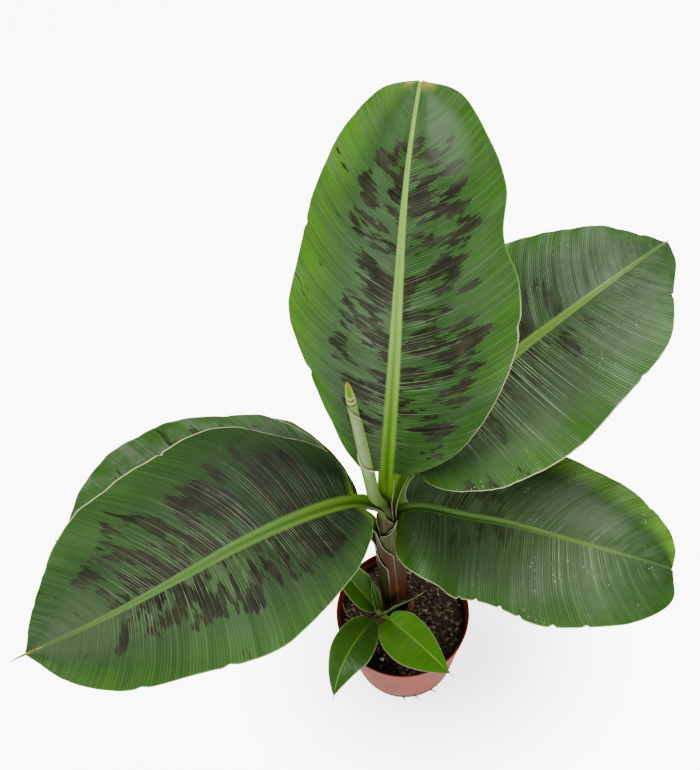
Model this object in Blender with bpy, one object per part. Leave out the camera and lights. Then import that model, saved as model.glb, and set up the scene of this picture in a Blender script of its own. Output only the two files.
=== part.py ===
"""A young banana plant in a round plastic nursery pot.

Metres, +Z up. The origin is on the ground under the middle of the pot, and +X is to the right
of someone who stands in front of the plant and looks along +Y.

The plant is built as it grew: every leaf is one solid, from the sheath that wraps the stem,
through the petiole and midrib, to the tip of the blade. The sheaths are nested and together
they are the stem, with the next leaf rolled up in the middle.
"""

from math import cos, pi, radians, sin, tau

import bmesh
import bpy
import numpy as np

MM = 0.001
GAP = 0.0003

# The pot, a common 14 cm nursery pot.
POT_HEIGHT = 0.125
POT_RIM_RADIUS = 0.070
POT_FOOT_RADIUS = 0.056
POT_WALL = 0.0014
POT_FLOOR = 0.0020
POT_FLOOR_LIFT = 0.0030
POT_COLLAR_HEIGHT = 0.014
POT_COLLAR_STEP = 0.0009
POT_HUB_RADIUS = 0.012
POT_SIDES = 48
DRAIN_HOLES = 6
DRAIN_HOLE_RADIUS = 0.0045
DRAIN_HOLE_PLACE = 0.040

# The soil, and the blind holes that the stems stand in.
SOIL_LEVEL = 0.107
SOIL_RELIEF = 0.0016
SOIL_RINGS = 9
HOLE_FLOOR = 0.060
PUP_HOLE_FLOOR = 0.090

# The stem: where it stands, how it leans, and the sheaths it is rolled from.
STEM_X = -0.004
STEM_Y = 0.017
STEM_LEAN_X = -0.022
STEM_LEAN_Y = 0.0
SHEATH_FOOT = 0.082
SHEATH_THICKNESS = 0.0009
SHEATH_PITCH = 0.00165
SHEATH_FIRST_RADIUS = 0.0056
SHEATH_FLARE = 0.12
SHEATH_TOP = 0.355

# The petiole and the blade.
PETIOLE_HALF_WIDTH = 0.0080
PETIOLE_CURL_RADIUS = 0.0085
KEEL_DEPTH = 0.0042
KEEL_TIP_DEPTH = 0.0010
RIB_HALF_WIDTH = 0.0055
RIB_TIP_HALF_WIDTH = 0.0012
BLADE_THICKNESS = 0.0008
VEIN_SWEEP = 2.1
WAVE_HEIGHT = 0.0025

# Columns across a blade, as fractions of the way from the midrib's edge to the margin.
COLUMNS = (1.0, 0.72, 0.45, 0.20, 0.0)
BLADE_ROWS = 24
SHEATH_MOUTH_ROWS = 8
LAST_ROW = 0.997

# layer: which sheath of the stem, from the middle out. wrap: degrees it reaches each way round.
# mouth: height at which the petiole leaves the stem. slant: how far its free edges slope below that.
# petiole, blade: lengths. waves, phase: the margin's ripple.
# rise: degrees above level at the sheath's mouth, the blade's foot, a third, two thirds, the tip.
# turn: compass degrees of the midrib, counterclockwise from +X, at the mouth, half way, the tip.
# fold and bend: how far each half of the blade is raised from flat, and how far it then arches
# down over its width, at the foot, the middle and the tip.
# left and right: the outline, millimetres along the midrib and out from it, foot to tip. Where it
# starts below zero the blade's foot reaches back along the petiole.
# roll: degrees the blade is tilted about its midrib.
LEAVES = {
    "leaf_1": dict(
        layer=0, wrap=150, mouth=0.355, slant=0.065, petiole=0.041, blade=0.327,
        rise=(86, 72, 53, 47, 25), turn=(70, 77, 71), fold=(30, 12, 6), bend=(12, 15, 8),
        left=((0, 8), (2, 18), (20, 33), (54, 50), (92, 67), (148, 86), (194, 79), (250, 66),
              (290, 49), (319, 24), (327, 0)),
        right=((0, 8), (4, 16), (22, 41), (46, 65), (90, 87), (136, 98), (180, 94), (214, 79),
               (252, 77), (292, 56), (320, 31), (327, 0)),
        waves=3.0, phase=0.4),
    "leaf_2": dict(
        layer=1, wrap=150, mouth=0.345, slant=0.035, petiole=0.045, blade=0.294,
        rise=(80, 35, 18, 6, -14), turn=(195, 211, 192), fold=(28, 12, 6), bend=(15, 20, 10),
        left=((-4, 8), (-4, 22), (8, 44), (36, 70), (80, 86), (150, 91), (193, 75), (236, 59),
              (268, 32), (286, 9), (294, 0)),
        right=((-4, 8), (0, 26), (8, 44), (40, 73), (86, 106), (150, 104), (200, 99), (235, 82),
               (263, 57), (286, 20), (294, 0)),
        waves=3.5, phase=1.7),
    "leaf_3": dict(
        layer=2, wrap=150, mouth=0.340, slant=0.035, petiole=0.050, blade=0.315,
        rise=(85, 38, 23, 9, -19), turn=(46, 27, 39), fold=(28, 12, 6), bend=(15, 20, 10),
        left=((0, 8), (0, 22), (14, 46), (50, 76), (100, 94), (150, 95), (191, 89), (247, 66),
              (281, 42), (303, 14), (315, 0)),
        right=((0, 8), (1, 32), (8, 54), (41, 90), (80, 101), (127, 103), (180, 92), (236, 73),
               (267, 43), (298, 20), (315, 0)),
        waves=3.0, phase=2.9),
    "leaf_4": dict(
        layer=3, wrap=140, mouth=0.328, slant=0.030, petiole=0.012, blade=0.245,
        rise=(84, 30, 5, 1, -25), turn=(361, 335, 345), fold=(20, 10, 5), bend=(15, 20, 10),
        left=((-7, 8), (-6, 16), (4, 28), (16, 40), (44, 58), (88, 74), (128, 78), (166, 72), (200, 60),
              (232, 42), (246, 20), (245, 0)),
        right=((-7, 8), (-7, 22), (-4, 46), (10, 74), (34, 82), (90, 79), (148, 83), (185, 72),
               (222, 52), (244, 28), (245, 0)),
        waves=4.0, phase=0.9),
    "leaf_5": dict(
        layer=4, wrap=105, mouth=0.300, slant=0.040, petiole=0.050, blade=0.262,
        rise=(82, 36, 10, -8, -24), turn=(174, 183, 172), fold=(25, 10, 5), bend=(15, 20, 10),
        left=((0, 8), (0, 24), (14, 46), (50, 74), (100, 88), (150, 84), (200, 62), (240, 32),
              (262, 0)),
        right=((0, 8), (2, 24), (16, 46), (50, 76), (100, 94), (150, 96), (205, 84), (244, 52),
               (262, 0)),
        waves=3.0, phase=2.2),
    "leaf_6": dict(
        layer=5, wrap=88, mouth=0.270, slant=0.040, petiole=0.045, blade=0.220,
        rise=(82, 38, 12, -8, -22), turn=(160, 166, 170), fold=(25, 10, 5), bend=(15, 20, 10),
        left=((0, 8), (0, 20), (14, 40), (48, 64), (90, 72), (135, 64), (180, 40), (220, 0)),
        right=((0, 8), (2, 20), (18, 38), (50, 60), (84, 72), (130, 66), (180, 40), (220, 0)),
        waves=2.5, phase=1.1),
}

# The next leaf, still rolled, rises out of the middle of the stem and leans away from leaf_1.
ROLL_FOOT = 0.084
ROLL_RADIUS_IN_STEM = 0.0050
ROLL_RADIUS = 0.0060
ROLL_BEND_HEIGHT = 0.352
ROLL_ELBOW = (-0.0190, 0.0100, 0.382)
ROLL_TIP = (-0.0310, 0.0200, 0.558)
ROLL_STEP = 0.0007
ROLL_SIDES = 18
ROLL_TURNS = 0.9

# A dry scrap of an old sheath at the foot of the stem.
SCRAP_FOOT = 0.096
SCRAP_TOP = 0.134
SCRAP_TURN = 318
SCRAP_WRAP = 28

# The corm under the stem, from which sheaths and roots grow.
CORM_RADIUS = 0.0172
CORM_TOP = SHEATH_FOOT - GAP

# The pup: a side shoot in front of the stem, with leaves of its own.
PUP_X = -0.0240
PUP_Y = -0.0015
PUP_CROWN = 0.136
PUP_FOOT_RADIUS = 0.0056
PUP_CROWN_RADIUS = 0.0034
PUP_LEAVES = {
    "front": dict(
        mouth=0.124, petiole=0.018, blade=0.086, rise=(78, 24, 8, -10, -24), turn=(311, 311, 313),
        fold=(28, 12, 6), bend=(0, 30, 40), roll=0,
        left=((0, 2), (2, 9), (14, 18), (36, 19), (58, 13), (74, 6), (86, 0)),
        right=((0, 2), (2, 15), (18, 29), (40, 31), (62, 20), (76, 9), (86, 0))),
    "side": dict(
        mouth=0.120, petiole=0.020, blade=0.092, rise=(76, 30, 4, -26, -46), turn=(226, 234, 250),
        fold=(28, 14, 6), bend=(0, 30, 40), roll=0,
        left=((0, 2), (4, 10), (18, 20), (40, 24), (64, 14), (92, 0)),
        right=((0, 2), (4, 10), (18, 18), (40, 20), (64, 13), (92, 0))),
    "cup": dict(
        mouth=0.126, petiole=0.014, blade=0.078, rise=(80, 58, 52, 46, 40), turn=(140, 138, 138),
        fold=(48, 34, 20), bend=(0, 20, 20), roll=0,
        left=((0, 2), (6, 12), (22, 20), (42, 20), (62, 11), (78, 0)),
        right=((0, 2), (6, 10), (22, 16), (42, 17), (62, 10), (78, 0))),
    "spear": dict(
        mouth=0.128, petiole=0.012, blade=0.050, rise=(86, 84, 80, 76, 72), turn=(120, 110, 100),
        fold=(55, 45, 30), bend=(0, 0, 0), roll=0,
        left=((0, 2), (8, 5), (24, 6), (40, 4), (50, 0)),
        right=((0, 2), (8, 5), (24, 6), (40, 4), (50, 0))),
    "edge": dict(
        mouth=0.122, petiole=0.014, blade=0.070, rise=(75, 70, 62, 48, 36), turn=(338, 350, 372),
        fold=(10, 10, 10), bend=(0, 0, 0), roll=-45,
        left=((0, 2), (8, 6), (22, 6), (44, 3), (70, 0)),
        right=((0, 2), (8, 6), (22, 6), (44, 3), (70, 0))),
}
PUP_BLADE_ROWS = 8
PUP_VEIN_SWEEP = 1.5
PUP_LEAF_OFFSET = 0.0012
PUP_RIB_HALF_WIDTH = 0.0011
PUP_KEEL_DEPTH = 0.0012

PLANT_COLOURS = {
    "leaf_1": (0.085, 0.215, 0.040),
    "leaf_2": (0.070, 0.190, 0.045),
    "leaf_3": (0.060, 0.170, 0.045),
    "leaf_4": (0.065, 0.185, 0.045),
    "leaf_5": (0.060, 0.165, 0.040),
    "leaf_6": (0.090, 0.200, 0.035),
}


def smooth(t):
    """Eased step from 0 to 1."""
    t = np.clip(t, 0.0, 1.0)
    return t * t * (3.0 - 2.0 * t)


def mix(a, b, t):
    return a + (b - a) * t


def through(places, values, t):
    """Smooth curve through values at the given places, read at t."""
    places = np.asarray(places, float)
    values = np.asarray(values, float)
    t = np.asarray(t, float)
    slopes = np.gradient(values, places, axis=0)
    k = np.clip(np.searchsorted(places, t) - 1, 0, len(places) - 2)
    span = places[k + 1] - places[k]
    q = np.clip((t - places[k]) / span, 0.0, 1.0)
    if values.ndim == 2:
        q = q[..., None]
        span = span[..., None]
    a = values[k] * (1 + 2 * q) * (1 - q) ** 2 + slopes[k] * span * q * (1 - q) ** 2
    b = values[k + 1] * q ** 2 * (3 - 2 * q) + slopes[k + 1] * span * q ** 2 * (q - 1)
    return a + b


def stem_axis(z):
    """Middle of the stem at height z."""
    up = np.maximum(np.asarray(z, float) - SOIL_LEVEL, 0.0)
    return STEM_X + STEM_LEAN_X * up, STEM_Y + STEM_LEAN_Y * up


def stem_flare(z):
    """The stem is a little thicker at its foot."""
    t = np.clip((SHEATH_TOP - np.asarray(z, float)) / (SHEATH_TOP - SHEATH_FOOT), 0.0, 1.0)
    return 1.0 + SHEATH_FLARE * t ** 2


def layer_radius(layer, z):
    return (SHEATH_FIRST_RADIUS + SHEATH_PITCH * layer) * stem_flare(z)


def midrib(leaf):
    """Places and axes along the leaf's middle line, by distance beyond the sheath's mouth."""
    petiole, blade = leaf["petiole"], leaf["blade"]
    total = petiole + blade
    s = np.linspace(0.0, total, 240)
    knots = (0.0, petiole, petiole + blade / 3, petiole + 2 * blade / 3, total)
    rise = np.radians(through(knots, leaf["rise"], s))
    turn = np.radians(through((0.0, petiole + blade / 2, total), leaf["turn"], s))
    along = np.stack([np.cos(rise) * np.cos(turn), np.cos(rise) * np.sin(turn), np.sin(rise)], 1)
    steps = (along[1:] + along[:-1]) / 2 * (s[1] - s[0])
    first = np.array([*leaf["start"], leaf["mouth"]])
    place = first + np.vstack([np.zeros(3), np.cumsum(steps, 0)])
    level = np.stack([-np.sin(turn), np.cos(turn), np.zeros_like(turn)], 1)
    up = np.cross(along, level)
    roll = radians(leaf.get("roll", 0))
    side = level * cos(roll) + up * sin(roll)
    return dict(s=s, place=place, along=along, side=side, up=up * cos(roll) - level * sin(roll))


def read_line(line, key, s):
    """A vector along the middle line, at distance s."""
    return np.stack([np.interp(s, line["s"], line[key][:, k]) for k in range(3)], -1)


def cross_curve(fold, curl, y):
    """Out and up of a half section that leaves its middle at angle fold and then curls."""
    curl = np.where(np.abs(curl) < 1e-3, 1e-3, curl)
    out = (np.sin(fold + curl * y) - np.sin(fold)) / curl
    up = (np.cos(fold) - np.cos(fold + curl * y)) / curl
    return out, up


def surface(place, along, side, up, fold, curl, y, over=0.0):
    """Point and normal of the leaf's upper face, y metres out from the middle line."""
    out, rise = cross_curve(fold, curl, np.abs(y))
    sign = np.sign(y)
    point = place + along * over + side * (sign * out)[..., None] + up * rise[..., None]
    angle = sign * (fold + curl * np.abs(y))
    normal = up * np.cos(angle)[..., None] - side * np.sin(angle)[..., None]
    return point, normal


def outline(points, q):
    """The blade's outline, millimetres to metres, at fraction q of its own length."""
    points = np.asarray(points, float) * MM
    length = np.r_[0.0, np.cumsum(np.linalg.norm(np.diff(points, axis=0), axis=1))]
    return through(length / length[-1], points, q)


def half_columns(rib, edge, columns):
    """Distances out from the middle, from the margin in to the edge of the midrib."""
    return [mix(rib, edge, c) for c in columns]


def sheath_rows(leaf, heights):
    """Upper and under points of the sheath, row by row from its foot to its mouth."""
    turn = radians(leaf["turn"][0])
    side = np.array([-sin(turn), cos(turn), 0.0])
    inward = np.array([-cos(turn), -sin(turn), 0.0])
    half = len(leaf["columns"])
    rows = []
    for z in heights:
        radius = float(layer_radius(leaf["layer"], z))
        x, y = stem_axis(z)
        place = np.array([x, y, z]) - inward * radius
        open_up = smooth((z - (leaf["mouth"] - leaf["slant"])) / leaf["slant"])
        wrap = mix(radians(leaf["wrap"]), PETIOLE_HALF_WIDTH / radius, open_up)
        y = wrap * radius * np.linspace(1, -1, 2 * half + 1)
        top, normal = surface(place, 0.0, side, inward, 0.0, 1.0 / radius, y)
        rows.append((top, top - normal * SHEATH_THICKNESS * float(stem_flare(z))))
    return rows


def petiole_rows(leaf, line, steps, first_curl):
    """Rows of the channelled stalk between the sheath's mouth and the blade's foot."""
    half = len(leaf["columns"])
    even = np.linspace(1, -1, 2 * half + 1)
    rib = leaf["rib"]
    first = leaf["petiole_half"]
    out = np.array(half_columns(rib, first, leaf["columns"])) / first
    blade_like = np.concatenate([out, [0.0], -out[::-1]])
    rows = []
    for k in range(1, steps + 1):
        t = k / (steps + 1)
        s = (leaf["petiole"] - leaf["back"]) * t
        fraction = mix(even, blade_like, smooth((t - 0.3) / 0.7))
        y = fraction * first
        flat = smooth((t - 0.35) / 0.65)
        curl = mix(mix(first_curl, leaf["petiole_curl"], smooth(t / 0.5)), 0.0, flat)
        fold = radians(leaf["fold"][0]) * flat
        top, normal = surface(read_line(line, "place", s), 0.0, read_line(line, "side", s),
                              read_line(line, "up", s), fold, curl, y)
        depth = leaf["keel"] * smooth(t / 0.8)
        keel = depth * np.clip(1 - (y / (1.2 * rib)) ** 2, 0, 1)
        thick = mix(leaf["first_thickness"], BLADE_THICKNESS, t) + keel
        rows.append((top, top - normal * thick[:, None]))
    return rows


def blade_rows(leaf, line, count):
    """Rows of the blade. Each row follows a vein, which slants towards the tip."""
    blade, petiole, back = leaf["blade"], leaf["petiole"], leaf["back"]
    rows = []
    for u in np.linspace(0.0, LAST_ROW, count + 1)[1:]:
        foot = mix(-back, blade, u ** leaf["sweep"])
        share = 1 - max(foot, 0.0) / blade
        rib = mix(leaf["rib_tip"], leaf["rib"], share)
        along_out = []
        for sign, points in ((1, leaf["left"]), (-1, leaf["right"])):
            edge = outline(points, u)
            ribbed = min(rib, 0.8 * edge[1])
            for c in leaf["columns"]:
                x = mix(foot, edge[0], 0.85 * c + 0.15 * c ** 4)
                along_out.append((x, sign * mix(ribbed, edge[1], c), c))
        half = len(leaf["columns"])
        cells = along_out[:half] + [(foot, 0.0, 0.0)] + along_out[half:][::-1]
        x, y, c = (np.array(v) for v in zip(*cells))
        s = petiole + np.clip(x, -back, blade)
        over = (x - np.clip(x, -back, blade))[:, None]
        t = np.clip(x / blade, 0.0, 1.0)
        fold = np.radians(through((0, 0.5, 1), leaf["fold"], t))
        curl = -np.radians(through((0, 0.5, 1), leaf["bend"], t)) / 0.1
        top, normal = surface(read_line(line, "place", s), read_line(line, "along", s),
                              read_line(line, "side", s), read_line(line, "up", s),
                              fold, curl, y, over)
        ripple = np.sin(tau * leaf["waves"] * t + leaf["phase"] + np.where(y < 0, 1.3, 0.0))
        top = top + normal * (leaf["wave_height"] * c ** 2 * np.sin(pi * t) * ripple)[:, None]
        depth = mix(KEEL_TIP_DEPTH * leaf["keel"] / KEEL_DEPTH, leaf["keel"], share)
        keel = depth * np.clip(1 - (y / (1.2 * rib)) ** 2, 0, 1)
        rows.append((top, top - normal * (BLADE_THICKNESS + keel)[:, None]))
    return rows


def skin_rows(name, rows):
    """One closed body from rows of upper and under points, cut into triangles alike on both."""
    mesh = bmesh.new()
    upper = [[mesh.verts.new(p) for p in row[0]] for row in rows]
    under = [[mesh.verts.new(p) for p in row[1]] for row in rows]

    def quad(a, b, c, d):
        mesh.faces.new((a, b, c))
        mesh.faces.new((a, c, d))

    last = len(rows) - 1
    for r in range(last):
        for c in range(len(upper[0]) - 1):
            quad(upper[r][c], upper[r][c + 1], upper[r + 1][c + 1], upper[r + 1][c])
            mesh.faces.new((under[r][c], under[r + 1][c + 1], under[r][c + 1]))
            mesh.faces.new((under[r][c], under[r + 1][c], under[r + 1][c + 1]))
        for c, flip in ((0, False), (-1, True)):
            edge = (upper[r][c], upper[r + 1][c], under[r + 1][c], under[r][c])
            quad(*(edge[::-1] if flip else edge))
    for c in range(len(upper[0]) - 1):
        quad(upper[0][c + 1], upper[0][c], under[0][c], under[0][c + 1])
        quad(upper[last][c], upper[last][c + 1], under[last][c + 1], under[last][c])
    bmesh.ops.recalc_face_normals(mesh, faces=mesh.faces)
    data = bpy.data.meshes.new(name)
    mesh.to_mesh(data)
    mesh.free()
    return data


def material(name, colour, roughness):
    slot = bpy.data.materials.new(name)
    slot.use_nodes = True
    shader = slot.node_tree.nodes["Principled BSDF"]
    shader.inputs["Base Color"].default_value = (*colour, 1.0)
    shader.inputs["Roughness"].default_value = roughness
    shader.inputs["Metallic"].default_value = 0.0
    return slot


def place_object(name, data, colour, roughness):
    """Put a mesh in the scene under its own name, with its own material."""
    data.materials.append(material(name, colour, roughness))
    item = bpy.data.objects.new(name, data)
    bpy.context.collection.objects.link(item)
    data.shade_smooth()
    data.set_sharp_from_angle(angle=radians(50))
    return item


def turned(name, profile, sides):
    """A closed solid of revolution round +Z from a closed (radius, height) profile."""
    mesh = bmesh.new()
    rings = []
    for radius, z in profile:
        if radius == 0.0:
            rings.append([mesh.verts.new((0.0, 0.0, z))])
            continue
        angles = [tau * k / sides for k in range(sides)]
        rings.append([mesh.verts.new((radius * cos(a), radius * sin(a), z)) for a in angles])
    for a, b in zip(rings, rings[1:]):
        for k in range(sides):
            n = (k + 1) % sides
            if len(a) == 1:
                mesh.faces.new((a[0], b[n], b[k]))
            elif len(b) == 1:
                mesh.faces.new((a[k], a[n], b[0]))
            else:
                mesh.faces.new((a[k], a[n], b[n], b[k]))
    bmesh.ops.recalc_face_normals(mesh, faces=mesh.faces)
    data = bpy.data.meshes.new(name)
    mesh.to_mesh(data)
    mesh.free()
    return data


def cutter(name, radius, low, high, x, y, sides):
    """A round bar that a Boolean takes away."""
    profile = ((0.0, high), (radius, high), (radius, low), (0.0, low))
    item = bpy.data.objects.new(name, turned(name, profile, sides))
    bpy.context.collection.objects.link(item)
    item.location = (x, y, 0.0)
    item.hide_render = True
    item.display_type = "WIRE"
    return item


def cut(item, tool):
    boolean = item.modifiers.new("cut_" + tool.name, "BOOLEAN")
    boolean.operation = "DIFFERENCE"
    boolean.solver = "EXACT"
    boolean.object = tool


def wall_radius(z):
    """Outer radius of the pot's tapered wall at height z."""
    return mix(POT_FOOT_RADIUS, POT_RIM_RADIUS - POT_COLLAR_STEP, z / POT_HEIGHT)


def make_pot():
    """A tapered cup with a slightly wider collar, a foot ring and hub to stand on, and drains."""
    collar = POT_HEIGHT - POT_COLLAR_HEIGHT
    floor = POT_FLOOR_LIFT + POT_FLOOR
    profile = (
        (0.0, 0.0),
        (POT_HUB_RADIUS, 0.0),
        (POT_HUB_RADIUS + 0.001, POT_FLOOR_LIFT),
        (POT_FOOT_RADIUS - 0.0045, POT_FLOOR_LIFT),
        (POT_FOOT_RADIUS - 0.0035, 0.0),
        (POT_FOOT_RADIUS, 0.0),
        (wall_radius(collar - 0.002), collar - 0.002),
        (wall_radius(collar) + POT_COLLAR_STEP, collar),
        (POT_RIM_RADIUS, POT_HEIGHT - 0.0015),
        (POT_RIM_RADIUS - 0.0004, POT_HEIGHT),
        (POT_RIM_RADIUS - POT_WALL - 0.0004, POT_HEIGHT),
        (POT_RIM_RADIUS - POT_WALL - 0.0008, POT_HEIGHT - 0.0015),
        (wall_radius(collar) + POT_COLLAR_STEP - POT_WALL, collar),
        (wall_radius(collar - 0.002) - POT_WALL, collar - 0.003),
        (wall_radius(floor) - POT_WALL, floor),
        (0.0, floor),
    )
    pot = place_object("pot", turned("pot", profile, POT_SIDES), (0.62, 0.20, 0.12), 0.45)
    for k in range(DRAIN_HOLES):
        angle = tau * (k + 0.5) / DRAIN_HOLES
        x, y = DRAIN_HOLE_PLACE * cos(angle), DRAIN_HOLE_PLACE * sin(angle)
        cut(pot, cutter(f"drain_{k + 1}", DRAIN_HOLE_RADIUS, -0.01, 0.02, x, y, 10))
    return pot


def soil_height(x, y):
    """Low clods, by a sum of a few fixed ripples."""
    a = np.sin(x * 210 + 1.3) * np.sin(y * 190 + 0.4)
    b = np.sin(x * 430 - y * 350 + 2.0) * 0.5
    return SOIL_LEVEL + SOIL_RELIEF * (a + b) / 1.5


def make_soil():
    """The root ball fills the pot, with a cloddy top and a blind hole for each stem."""
    floor = POT_FLOOR_LIFT + POT_FLOOR + GAP
    collar = POT_HEIGHT - POT_COLLAR_HEIGHT - 0.003
    clear = POT_WALL + GAP + 0.0001
    mesh = bmesh.new()
    sides = POT_SIDES

    def ring(radius, height):
        loop = []
        for k in range(sides):
            a = tau * k / sides
            x, y = radius * cos(a), radius * sin(a)
            loop.append(mesh.verts.new((x, y, height if height is not None else soil_height(x, y))))
        return loop

    top_radius = wall_radius(SOIL_LEVEL - 0.004) - clear
    rings = [ring(wall_radius(floor) - clear, floor), ring(top_radius, SOIL_LEVEL - 0.004)]
    for k in range(SOIL_RINGS):
        rings.append(ring(top_radius * (1 - (k + 0.1) / SOIL_RINGS), None))
    for a, b in zip(rings, rings[1:]):
        for k in range(sides):
            n = (k + 1) % sides
            mesh.faces.new((a[k], a[n], b[n], b[k]))
    mesh.faces.new(rings[0][::-1])
    mesh.faces.new(rings[-1])
    bmesh.ops.triangulate(mesh, faces=mesh.faces)
    bmesh.ops.recalc_face_normals(mesh, faces=mesh.faces)
    data = bpy.data.meshes.new("soil")
    mesh.to_mesh(data)
    mesh.free()
    soil = place_object("soil", data, (0.030, 0.020, 0.014), 0.95)
    outer = layer_radius(len(LEAVES) - 1, SHEATH_FOOT) + SHEATH_THICKNESS * (1 + SHEATH_FLARE)
    above = SOIL_LEVEL + 0.02
    cut(soil, cutter("stem_hole", float(outer) + 0.0026, HOLE_FLOOR, above, STEM_X, STEM_Y, 32))
    cut(soil, cutter("pup_hole", PUP_FOOT_RADIUS + GAP, PUP_HOLE_FLOOR, above, PUP_X, PUP_Y, 20))
    return soil


def make_corm():
    """The short swollen stem under the sheaths."""
    low = HOLE_FLOOR + GAP
    profile = (
        (0.0, CORM_TOP),
        (CORM_RADIUS - 0.001, CORM_TOP),
        (CORM_RADIUS, CORM_TOP - 0.002),
        (CORM_RADIUS, low + 0.010),
        (CORM_RADIUS * 0.8, low + 0.003),
        (CORM_RADIUS * 0.5, low),
        (0.0, low),
    )
    data = turned("corm", profile, 24)
    for vertex in data.vertices:
        vertex.co.x += STEM_X
        vertex.co.y += STEM_Y
    return place_object("corm", data, (0.35, 0.24, 0.13), 0.8)


def finish_leaf(leaf):
    """Values that every leaf of the big plant shares."""
    x, y = stem_axis(leaf["mouth"])
    radius, out = layer_radius(leaf["layer"], leaf["mouth"]), radians(leaf["turn"][0])
    leaf["start"] = (x + radius * cos(out), y + radius * sin(out))
    leaf["columns"] = COLUMNS
    leaf["rib"] = RIB_HALF_WIDTH
    leaf["rib_tip"] = RIB_TIP_HALF_WIDTH
    leaf["keel"] = KEEL_DEPTH
    leaf["petiole_half"] = PETIOLE_HALF_WIDTH
    leaf["petiole_curl"] = 1 / max(PETIOLE_CURL_RADIUS, layer_radius(leaf["layer"], leaf["mouth"]))
    leaf["first_thickness"] = SHEATH_THICKNESS
    leaf["wave_height"] = WAVE_HEIGHT
    leaf["sweep"] = VEIN_SWEEP
    leaf["back"] = -min(0.0, leaf["left"][0][0], leaf["right"][0][0]) * MM
    return leaf


def make_leaf(name, leaf):
    """Sheath, petiole, midrib and blade of one leaf, as one solid."""
    line = midrib(leaf)
    mouth, slant = leaf["mouth"], leaf["slant"]
    heights = list(np.linspace(SHEATH_FOOT, mouth - slant, 5))
    heights += list(np.linspace(mouth - slant, mouth, SHEATH_MOUTH_ROWS + 1)[1:])
    rows = sheath_rows(leaf, heights)
    rows += petiole_rows(leaf, line, 3, 1 / float(layer_radius(leaf["layer"], mouth)))
    rows += blade_rows(leaf, line, BLADE_ROWS)
    return place_object(name, skin_rows(name, rows), PLANT_COLOURS[name], 0.4)


def make_rolled_leaf():
    """A slim cone with the step of its rolled margin winding up it."""
    foot = np.array([*stem_axis(ROLL_FOOT), ROLL_FOOT])
    bend = np.array([*stem_axis(ROLL_BEND_HEIGHT), ROLL_BEND_HEIGHT])
    elbow = np.array(ROLL_ELBOW)
    tip = np.array(ROLL_TIP)
    inside = ROLL_RADIUS_IN_STEM
    stations = [(foot, inside), (mix(foot, bend, 0.5), inside), (mix(foot, bend, 0.96), inside)]
    stations += [(mix(bend, elbow, 0.35), mix(inside, ROLL_RADIUS, 0.1)),
                 (mix(bend, elbow, 0.75), mix(inside, ROLL_RADIUS, 0.8))]
    shape = ((0.04, 1.0), (0.16, 1.0), (0.3, 0.96), (0.45, 0.88), (0.6, 0.80), (0.75, 0.72),
             (0.86, 0.66), (0.92, 0.56), (0.96, 0.40), (0.99, 0.16))
    stations += [(mix(elbow, tip, t), ROLL_RADIUS * r) for t, r in shape]
    mesh = bmesh.new()
    rings = []
    for place, radius in stations:
        start = tau * ROLL_TURNS * max(place[2] - bend[2], 0.0) / (tip[2] - bend[2])
        step = ROLL_STEP * radius / ROLL_RADIUS
        ring = []
        for k in range(ROLL_SIDES):
            r = radius - step * k / (ROLL_SIDES - 1)
            a = start + tau * k / ROLL_SIDES
            ring.append(mesh.verts.new(place + np.array([r * cos(a), r * sin(a), 0.0])))
        rings.append(ring)
    for a, b in zip(rings, rings[1:]):
        for k in range(ROLL_SIDES):
            n = (k + 1) % ROLL_SIDES
            mesh.faces.new((a[k], a[n], b[n], b[k]))
    mesh.faces.new(rings[0][::-1])
    mesh.faces.new(rings[-1])
    bmesh.ops.triangulate(mesh, faces=mesh.faces)
    bmesh.ops.recalc_face_normals(mesh, faces=mesh.faces)
    data = bpy.data.meshes.new("rolled_leaf")
    mesh.to_mesh(data)
    mesh.free()
    return place_object("rolled_leaf", data, (0.26, 0.40, 0.16), 0.5)


def make_scrap():
    """A dry brown remnant that clasps the stem's foot."""
    layer = len(LEAVES)
    turn = radians(SCRAP_TURN)
    side = np.array([-sin(turn), cos(turn), 0.0])
    inward = np.array([-cos(turn), -sin(turn), 0.0])
    rows = []
    for t in np.linspace(0, 1, 5):
        z = mix(SCRAP_FOOT, SCRAP_TOP, t)
        radius = float(layer_radius(layer, z)) + 0.0012 * t
        x, y = stem_axis(z)
        place = np.array([x, y, z]) - inward * radius
        across = radians(SCRAP_WRAP) * radius * (1 - 0.75 * t ** 2) * np.linspace(1, -1, 7)
        top, normal = surface(place, 0.0, side, inward, 0.0, 1.0 / radius, across)
        rows.append((top, top - normal * SHEATH_THICKNESS))
    return place_object("dry_scrap", skin_rows("dry_scrap", rows), (0.45, 0.20, 0.07), 0.8)


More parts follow.
